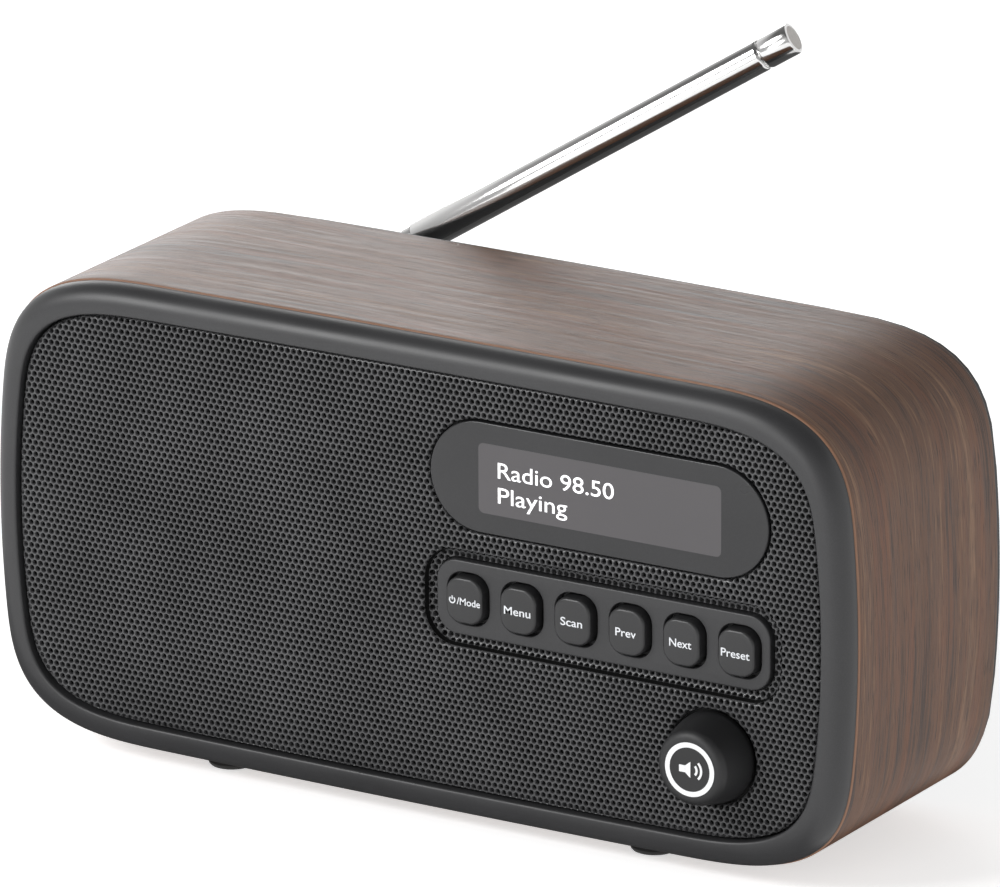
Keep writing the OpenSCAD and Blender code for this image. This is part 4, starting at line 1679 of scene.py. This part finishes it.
@dataclass
class DisplayWindow(SubAssembly):
    """Smoked pill-shaped window with a lit screen and two lines of characters.

    Args:
        soft: Size of the round at the window's front edge.
        screen: Half width, half height and corner radius of the lit area.
        shift: X and Z of the lit area's middle from the window's middle.
        capital: Height of a capital on the screen.
        proud: How far the lit area stands in front of the window.
        text_left: X at which both lines start.
        weight: Extra thickness of the letters' strokes.
        lines: Name, characters, height of the baseline and width of each line.
    """

    soft: float = 0.35
    screen: Triple = (29.6, 7.75, 1.3)
    shift: Spot = (0.3, 0.0)
    capital: float = 3.45
    proud: float = 0.02
    text_left: float = 21.3
    weight: float = 0.002
    lines: tuple[tuple[str, str, float, float], ...] = (
        ("display_line_upper", "Radio 98.50", 80.15, 28.4),
        ("display_line_lower", "Playing", 74.65, 17.0),
    )

    def build(self) -> None:
        """Makes the window, the screen and the characters, and hides the plain window."""
        lens = NodeBox.of("display_lens")
        (w, h), front = lens.half, lens.front
        insets = [(0.0, lens.back), *arc(self.soft, front + self.soft, self.soft, 180, 270, 6)]
        pill = rounded_rings(lens.centre, [(w - i, h - i, h - i - 0.01, y) for i, y in insets], 28)
        self.skin(pill, "display_window", "cabinet", "lens_plastic", ("display_lens",))
        middle = (lens.centre[0] + self.shift[0], lens.centre[1] + self.shift[1])
        plate = [(*self.screen, front + 0.3), (*self.screen, front - self.proud)]
        lit = rounded_rings(middle, plate, 10)
        self.skin(lit, "display_screen", "cabinet", "display_glass", finish=ScreenGlass())
        ink = PrintedInk((0.9, 0.9, 0.92), 0.55)
        letters = Lettering(self.capital, self.weight, proud=0.05)
        for name, text, base, width in self.lines:
            at = np.array([self.text_left, front - self.proud, base])
            piece = letters.place(name, text, at, width, 0.0)
            self.fix(piece, "cabinet", "display_glass", finish=ink)


class Key(Enum):
    """The six keys, with the words printed on them and the width of those words."""

    POWER = ("button_power", "/Mode", 5.75)
    MENU = ("button_menu", "Menu", 6.5)
    SCAN = ("button_scan", "Scan", 5.3)
    PREV = ("button_prev", "Prev", 5.0)
    NEXT = ("button_next", "Next", 5.35)
    PRESET = ("button_preset", "Preset", 6.9)


@dataclass
class ButtonStrip(SubAssembly):
    """Panel with six push keys in its windows.

    Args:
        corner: Corner radius of the panel.
        soft: Round at the panel's front edge.
        window: Gap between a key and its window.
        key_corner: Corner radius of a key.
        key_soft: Round at a key's front edge.
        taper: How much narrower a key is in front, on each side.
        crown: How much higher a key is in its middle than at its edge.
        crown_rings: Where rings lie between a key's edge and its middle.
        capital: Height of a capital on the keys.
        bevel: Slope at a window's front edge.
        lip: How far a key's lip reaches past it.
        lip_front: Depth of the lip's front.
        stem: Radius of a key's stem.
        weight: Extra thickness of the letters' strokes.
        power_scale: Size of the power key's word against the others.
        power_word: Shift of that word from the key's middle.
        power_mark: Shift of the power mark from the key's middle.
    """

    corner: float = 5.0
    soft: float = 0.45
    window: float = 0.5
    key_corner: float = 3.4
    key_soft: float = 0.7
    taper: float = 0.2
    crown: float = 0.12
    crown_rings: tuple[float, ...] = (0.25, 0.5, 0.75, 0.95)
    capital: float = 1.78
    bevel: float = 0.18
    lip: float = 1.0
    lip_front: float = 3.3
    stem: float = 1.5
    weight: float = 0.007
    power_scale: float = 0.86
    power_word: float = 1.25
    power_mark: float = -2.75

    def build(self) -> None:
        """Makes the panel and all the keys."""
        self.build_panel()
        for key in Key:
            self.build_key(key)

    def build_panel(self) -> None:
        """Makes the panel: a rounded rim, a softened edge round each window, and the flat face between them.

        The rim and the windows are rings; the flat face and the back are cut into triangles between
        the outer ring and the six window rings.
        """
        panel = NodeBox.of("button_panel")
        (w, h), front, back = panel.half, panel.front, panel.back
        rim = [(0.0, back), *arc(self.soft, front + self.soft, self.soft, 180, 270, 5)]
        outer = rounded_rings(panel.centre, [(w - i, h - i, self.corner - i, y) for i, y in rim])
        surface = Surface()
        surface.add(outer.reshape(-1, 3), ring_faces(len(outer), outer.shape[1], False), closed=False)
        loops = [[outer[-1]], [outer[0]]]
        for key in Key:
            box = NodeBox.of(key.value[0])
            kw, kh = (size - self.lip + self.window for size in box.half)
            r = self.key_corner + self.window
            walls = [(0.0, back), (0.0, front + self.bevel), (self.bevel, front)]
            ring = rounded_rings(box.centre, [(kw + g, kh + g, r + g, y) for g, y in walls])
            surface.add(ring.reshape(-1, 3), ring_faces(3, ring.shape[1], False)[:, ::-1], closed=False)
            loops[0].append(ring[-1])
            loops[1].append(ring[0])
        for group, flip in zip(loops, (False, True)):
            points = np.concatenate(group)
            flat = [[Vector((x, z, 0)) for x, _, z in ring] for ring in group]
            faces = np.array(geometry.tessellate_polygon(flat))
            a, b, c = (points[faces[:, k]][:, [0, 2]] for k in range(3))
            forwards = (b - a)[:, 0] * (c - a)[:, 1] > (b - a)[:, 1] * (c - a)[:, 0]
            faces = np.where((forwards == flip)[:, None], faces[:, ::-1], faces)
            surface.add(points, faces, closed=False)
        self.seat(surface, "key_panel", "cabinet", "panel_plastic", ("button_panel",))

    def build_key(self, key: Key) -> None:
        """Makes one key with its lip and stem, and prints its word.

        Args:
            key: Which key.
        """
        node, word, width = key.value
        box = NodeBox.of(node)
        (x, z), front = box.centre, box.front
        w, h = (size - self.lip for size in box.half)
        r, soft, lip = self.key_corner, self.key_soft, self.lip_front
        stem = (self.stem, self.stem, self.stem - 0.001)
        sections = [(*stem, box.back), (*stem, lip + self.lip)]
        sections += [(*(size + self.lip for size in (w, h)), r, y) for y in (lip + self.lip, lip)]
        edge = arc(soft + self.taper, front + soft + self.crown, soft, 180, 262, 7)
        sections += [(w, h, r, lip)] + [(w - i, h - i, r - i * 0.6, y) for i, y in edge]
        for share in self.crown_rings:
            inset = soft + self.taper + share * (w - soft - self.taper)
            rise = self.crown * (1 - share) ** 2
            sections += [(w - inset, h - inset, max((r - 0.45) * (1 - share), 0.05), front + rise)]
        rings = rounded_rings(box.centre, sections)
        self.skin(rings, node + "_cap", node, "button_plastic", (node,), sharp=40)
        ink = PrintedInk((0.78, 0.8, 0.83))
        face = front + 0.02
        height = self.capital * (self.power_scale if key is Key.POWER else 1)
        middle = x + (self.power_word if key is Key.POWER else 0)
        letters = Lettering(height, self.weight, proud=0.05, thick=0.1)
        piece = letters.place(node + "_word", word, np.array([middle, face, z - height / 2]), width, 0.5)
        self.fix(piece, node, "button_plastic", finish=ink)
        if key is Key.POWER:
            self.build_power_mark(np.array([x + self.power_mark, z]), face - letters.proud, ink)

    def build_power_mark(self, at: Array, face: float, ink: PrintedInk) -> None:
        """Prints the usual open ring with a bar.

        Args:
            at: X and Z of the mark's middle.
            face: Depth of its front.
            ink: What it is printed with.
        """
        angle = np.radians(np.linspace(128, 412, 30))
        circle = at + 0.66 * np.stack([np.cos(angle), np.sin(angle)], -1)
        bar = at + np.stack([np.zeros(4), np.linspace(0.05, 0.95, 4)], -1)
        surface = Surface()
        for path in (circle, bar):
            ribbon(surface, path, 0.27, face, face + 0.1)
        self.seat(surface, "button_power_mark", "button_power", "button_plastic", finish=ink)


@dataclass
class RotaryKnob(SubAssembly):
    """Soft black knob with a printed ring and a loudspeaker sign.

    Args:
        radius: Radius where it passes the grille.
        front_radius: Radius near its front.
        soft: Round at the front edge.
        ring: Inner and outer radius of the printed ring.
    """

    radius: float = 9.9
    front_radius: float = 8.4
    soft: float = 2.1
    ring: Spot = (4.85, 5.95)

    def build(self) -> None:
        """Turns the knob's profile about its axis and prints its face."""
        box = NodeBox.of("volume_knob")
        face, back = box.front, box.back
        r, f, s = self.radius, self.front_radius, self.soft
        profile = [(0.01, face + 0.16), (3.0, face + 0.12), (5.2, face + 0.02), (f - s, face)]
        profile += arc(f - s, face + s, s, 274, 352, 12)
        profile += [(f + 0.55 * (r - f), face + 0.5 * (back - face)), (r - 0.05, -0.6), (r, -0.2)]
        profile += [(r, back - 0.25), (r - 0.25, back), (r - 1.4, back), (r - 1.8, back - 3.0)]
        profile += [(5.0, back - 4.0), (5.0, back - 1.0), (3.0, back - 1.0), (3.0, -5.5), (0.01, -5.5)]
        rings = turned_rings(np.insert(box.centre, 1, 0.0), np.array([0, 1, 0]), profile, 96)
        self.skin(rings, "volume_knob_cap", "dial", "knob_rubber", ("volume_knob",), sharp=50)
        self.build_mark(np.array(box.centre), face)

    def build_mark(self, centre: Array, face: float) -> None:
        """Prints the ring, and inside it a small loudspeaker with two waves.

        Args:
            centre: X and Z of the knob's axis.
            face: Depth of the knob's face.
        """
        front, back = face - 0.03, face + 0.18
        inner, outer = self.ring
        profile = [(inner, front), (outer, front), (outer, back), (inner, back)]
        surface = Surface()
        surface.rings(turned_rings(np.insert(centre, 1, 0.0), np.array([0, 1, 0]), profile, 96), closed=True)
        box = centre + np.array([[-2.55, 0.0], [-1.7, 0.0], [-1.05, 0.0]])
        ribbon(surface, box, 1.5, front, back)
        cone = np.array([[-1.1, -0.75], [0.15, -1.75], [0.15, 1.75], [-1.1, 0.75]]) + centre
        surface.rings(np.stack([np.insert(cone, 1, y, axis=1) for y in (front, back)]))
        for radius in (1.35, 2.45):
            angle = np.radians(np.linspace(-46, 46, 14))
            wave = centre + [0.35, 0.0] + radius * np.stack([np.cos(angle), np.sin(angle)], -1)
            ribbon(surface, wave, 0.5, front, back)
        self.seat(surface, "volume_knob_mark", "dial", "knob_rubber", finish=PrintedInk((0.86, 0.87, 0.88)))


# ---------------------------------------------------------------- antenna, feet and rear


@dataclass
class TelescopicAntenna(SubAssembly):
    """Five chromed tubes that slide in each other, with a turned tip.

    Args:
        radius: Outer radius of the outermost tube.
        step: Difference in radius between neighbouring tubes.
        wall: Wall of a tube.
        start: Distance from the elbow at which the outer tube starts.
        end: Distance at which it ends.
        plug: Length of the solid end inside which the inner tubes stop.
        tip: Distances at which the tip starts and ends.
    """

    radius: float = 3.6
    step: float = 0.5
    wall: float = 0.4
    start: float = 7.0
    end: float = 97.4
    plug: float = 5.4
    tip: Spot = (98.0, 105.4)

    def build(self) -> None:
        """Turns each tube and the tip about the antenna's own line."""
        joints = {j["name"]: j for j in frame["joints"]}
        pivot = np.array(joints["antenna_tilt"]["pos_m"]) / MM - [0, plane_y(), 0]
        line = np.array(joints["antenna_extend_1"]["axis"])
        bodies = ("antenna_arm", "antenna_stage_2", "antenna_stage_3", "antenna_stage_4", "antenna_stage_5")
        for number, body in enumerate(bodies):
            begin = self.start + (self.plug + number if number else 0)
            profile = self.tube_profile(self.radius - number * self.step, begin, number)
            tube = turned_rings(pivot, line, profile, 56)
            node = f"antenna_section_{number + 1}"
            self.skin(tube, node + "_tube", body, "antenna_chrome", (node,), closed=number < 4, sharp=40)
        tip = turned_rings(pivot, line, self.tip_profile(), 56)
        self.skin(tip, "antenna_tip_cap", "antenna_stage_5", "antenna_chrome", ("antenna_tip",), sharp=30)
        r, high = self.radius - 0.55, self.tip[1]
        drop = ((0.01, 0.3), (r, 0.3), (r, 0.12), (r - 0.1, 0.04), (0.01, 0.04))
        face = [(radius, high - down) for radius, down in drop]
        dull = BareMetal((0.52, 0.5, 0.48), 0.5, (900, 900, 900), 0.00001)
        disc = turned_rings(pivot, line, face, 56)
        self.skin(disc, "antenna_tip_face", "antenna_stage_5", "antenna_chrome", finish=dull, sharp=30)

    def tube_profile(self, outer: float, begin: float, number: int) -> list[tuple]:
        """Section of one tube, with its far rim turned over a little; the last one is a solid rod.

        Args:
            outer: Outer radius.
            begin: Distance from the elbow at which it starts.
            number: Which tube, from 0.

        Returns:
            Radius and distance along the antenna, point by point.
        """
        if number == 4:
            return [(0.01, begin), (outer, begin), (outer, self.tip[0]), (0.01, self.tip[0])]
        inner = outer - self.wall
        rim = [(outer, self.end - 0.5), (outer - 0.05, self.end - 0.2), (outer - 0.2, self.end)]
        rim += [(inner, self.end), (inner, begin)]
        return [(outer, begin + 0.2), (outer, begin + 30), *rim, (outer - 0.1, begin)]

    def tip_profile(self) -> list[tuple]:
        """Section of the tip: a drum with softened ends and a shallow dish in its far face."""
        low, high = self.tip
        r = self.radius
        return [
            (0.01, low),
            (r - 0.35, low),
            (r - 0.08, low + 0.12),
            (r, low + 0.4),
            (r, high - 0.45),
            (r - 0.12, high - 0.12),
            (r - 0.4, high),
            (r - 0.75, high),
            (r - 0.85, high - 0.08),
            (0.01, high - 0.08),
        ]


@dataclass
class RubberFeet(SubAssembly):
    """Four round rubber feet.

    Args:
        radius: Radius of a foot.
        top: Height of its upper face, inside the cabinet.
        places: X and depth of each foot.
    """

    radius: float = 5.2
    top: float = 3.4
    places: tuple[tuple[float, float], ...] = ((-53, 10.9), (53, 10.9), (-53, 54), (53, 54))

    def build(self) -> None:
        """Turns all the feet about their own upright axes."""
        r = self.radius
        profile = [(0.01, 0.25), (r - 2.2, 0.25), (r - 1.9, 0.0), (r - 0.9, 0.0)]
        profile += [(r - 0.45, 0.12), (r - 0.1, 0.5), (r, 0.9), (r, self.top), (0.01, self.top)]
        surface = Surface()
        for x, y in self.places:
            surface.rings(turned_rings(np.array([x, y, 0.0]), np.array([0, 0, 1]), profile, 48))
        self.seat(surface, "feet", "cabinet", "foot_rubber", ("rubber_feet",), sharp=50)


# ---------------------------------------------------------------- studio


@dataclass
class Studio:
    """Pale floor, soft lights and the camera.

    Args:
        camera_at: Place of the camera, in metres.
        forward: Direction it looks in.
        right: Direction of the picture's right side.
        lens: Focal length on a 36 mm wide sensor.
        floor_size: Width of the floor, in metres.
        floor_glow: Strength of the floor's own light.
        sky: For an axis, the two directions along it and how bright the surroundings are there.
        lamps: Name, place, diameter and power of each lamp.
        aim: Point the lamps shine at, in metres.
    """

    camera_at: Rgb = (1.30307, -2.13312, 0.88293)
    forward: Rgb = (-0.49746, 0.81071, -0.30868)
    right: Rgb = (0.85307, 0.52177, -0.00442)
    lens: float = 441.9
    floor_size: float = 14.0
    floor_glow: float = 0.62
    sky: tuple[tuple[int, tuple[float, ...]], ...] = ((2, (0.44, 0.68, 1.0, 0.2)), (1, (-0.6, 0.2, 0.5, 1.0)))
    lamps: tuple[tuple[str, Rgb, float, float], ...] = (
        ("front_left", (-1.35, -1.75, 1.5), 1.1, 38.0),
        ("front_low", (-0.3, -2.2, 0.55), 0.9, 8.0),
        ("back_left", (-1.9, 2.3, 0.95), 1.7, 20.0),
    )
    aim: Triple = (0, 0, 0.06)

    def build(self) -> None:
        """Sets up everything that isn't part of the radio."""
        self.build_floor()
        self.build_card("dark_card", [(-0.22, -0.07), (0.1, -0.07), (0.1, 0.4), (-0.22, 0.4)], 0.001)
        self.build_world()
        self.build_lights()
        self.build_camera()

    def build_floor(self) -> None:
        """Lays a flat pale floor under the feet."""
        half = self.floor_size / 2 / MM
        side = np.linspace(-half, half, 9)
        x, y = np.meshgrid(side, side, indexing="xy")
        points = np.stack([x.ravel(), y.ravel(), 0 * x.ravel() - 0.02], -1)
        i = np.arange(8)[:, None] * 9 + np.arange(8)[None]
        faces = np.stack([i, i + 1, i + 10, i + 9], -1).reshape(-1, 4)
        surface = Surface()
        surface.add(points, faces, closed=False)
        floor = surface.build("floor")
        bench = Bench("floor_paint")
        grain = bench.noise(bench.place(), 3, 2)
        tint = bench.mix(grain, (0.9, 0.9, 0.9), (0.92, 0.92, 0.92))
        bench.set(Base_Color=tint, Roughness=0.9, Specular_IOR_Level=0.1)
        bench.set(Emission_Color=tint, Emission_Strength=self.floor_glow)
        floor.data.materials.append(bench.material)

    @staticmethod
    def build_card(name: str, spots: list[Spot], height: float) -> None:
        """Lays a dark card that only reflections show, so that bright metal has a dark side.

        Args:
            name: Name of the card.
            spots: X and Y of its corners, in metres.
            height: How high it lies, in metres.
        """
        mesh = bpy.data.meshes.new(name)
        mesh.from_pydata([(x, y, height) for x, y in spots], [], [(0, 1, 2, 3)])
        card = put(name, mesh)
        bench = Bench(name + "_paint")
        bench.set(Base_Color=(0.2, 0.2, 0.2), Roughness=0.9, Specular_IOR_Level=0.0)
        mesh.materials.append(bench.material)
        card.visible_camera = card.visible_diffuse = card.visible_shadow = False

    def build_world(self) -> None:
        """Surrounds the scene with light that is white low down at the back and dim elsewhere."""
        world = bpy.data.worlds.new("studio")
        world.use_nodes = True
        tree = world.node_tree
        coordinates = tree.nodes.new("ShaderNodeTexCoord")
        split = tree.nodes.new("ShaderNodeSeparateXYZ")
        tree.links.new(coordinates.outputs["Generated"], split.inputs[0])
        parts = []
        for axis, limits in self.sky:
            span = tree.nodes.new("ShaderNodeMapRange")
            tree.links.new(split.outputs[axis], span.inputs[0])
            for number, value in enumerate(limits, 1):
                span.inputs[number].default_value = value
            parts.append(span.outputs[0])
        both = tree.nodes.new("ShaderNodeMath")
        both.operation = "MULTIPLY"
        for number, part in enumerate(parts):
            tree.links.new(part, both.inputs[number])
        tree.links.new(both.outputs[0], tree.nodes["Background"].inputs[1])
        tree.nodes["Background"].inputs[0].default_value = (1.0, 1.0, 1.0, 1.0)
        bpy.context.scene.world = world
        bpy.context.scene.view_settings.view_transform = "Standard"

    def build_lights(self) -> None:
        """Hangs soft lights at the front left, low in front, and low behind at the left."""
        for name, at, size, power in self.lamps:
            data = bpy.data.lights.new(name, "AREA")
            data.shape = "DISK"
            data.size = size
            data.energy = power
            lamp = put(name, data)
            lamp.location = at
            lamp.rotation_euler = (Vector(self.aim) - Vector(at)).to_track_quat("-Z", "Y").to_euler()

    def build_camera(self) -> None:
        """Puts the camera where it looks straight along its own line, without shift."""
        ahead = Vector(self.forward).normalized()
        right = Vector(self.right)
        right = (right - ahead * right.dot(ahead)).normalized()
        up = right.cross(ahead)
        data = bpy.data.cameras.new("camera")
        data.lens = self.lens
        data.sensor_width = 36.0
        data.clip_end = 60.0
        camera = put("camera", data)
        turn = Matrix((right, up, -ahead)).transposed().to_4x4()
        camera.matrix_world = Matrix.Translation(self.camera_at) @ turn
        bpy.context.scene.camera = camera


def corners(box: tuple) -> list[list[float]]:
    """A box's two corners as plain lists."""
    return [[float(v) for v in corner] for corner in box]


def main() -> None:
    """Builds the radio's looks piece by piece and reports each."""
    logging.basicConfig(level=logging.INFO, format="%(message)s")
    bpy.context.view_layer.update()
    outline = cabinet_outline()
    paints = Paintbox()
    LOG.info("%d frame nodes dressed", paints.dress_frame())
    for kind in (WoodCabinet, FrontBezel, PerforatedGrille):
        shell = kind(paints)
        shell.build(outline)
        shell.report()
    for kind in (DisplayWindow, ButtonStrip, RotaryKnob, TelescopicAntenna, RubberFeet):
        group = kind(paints)
        group.build()
        group.report()
    Studio().build()


if __name__ == "__main__":
    main()
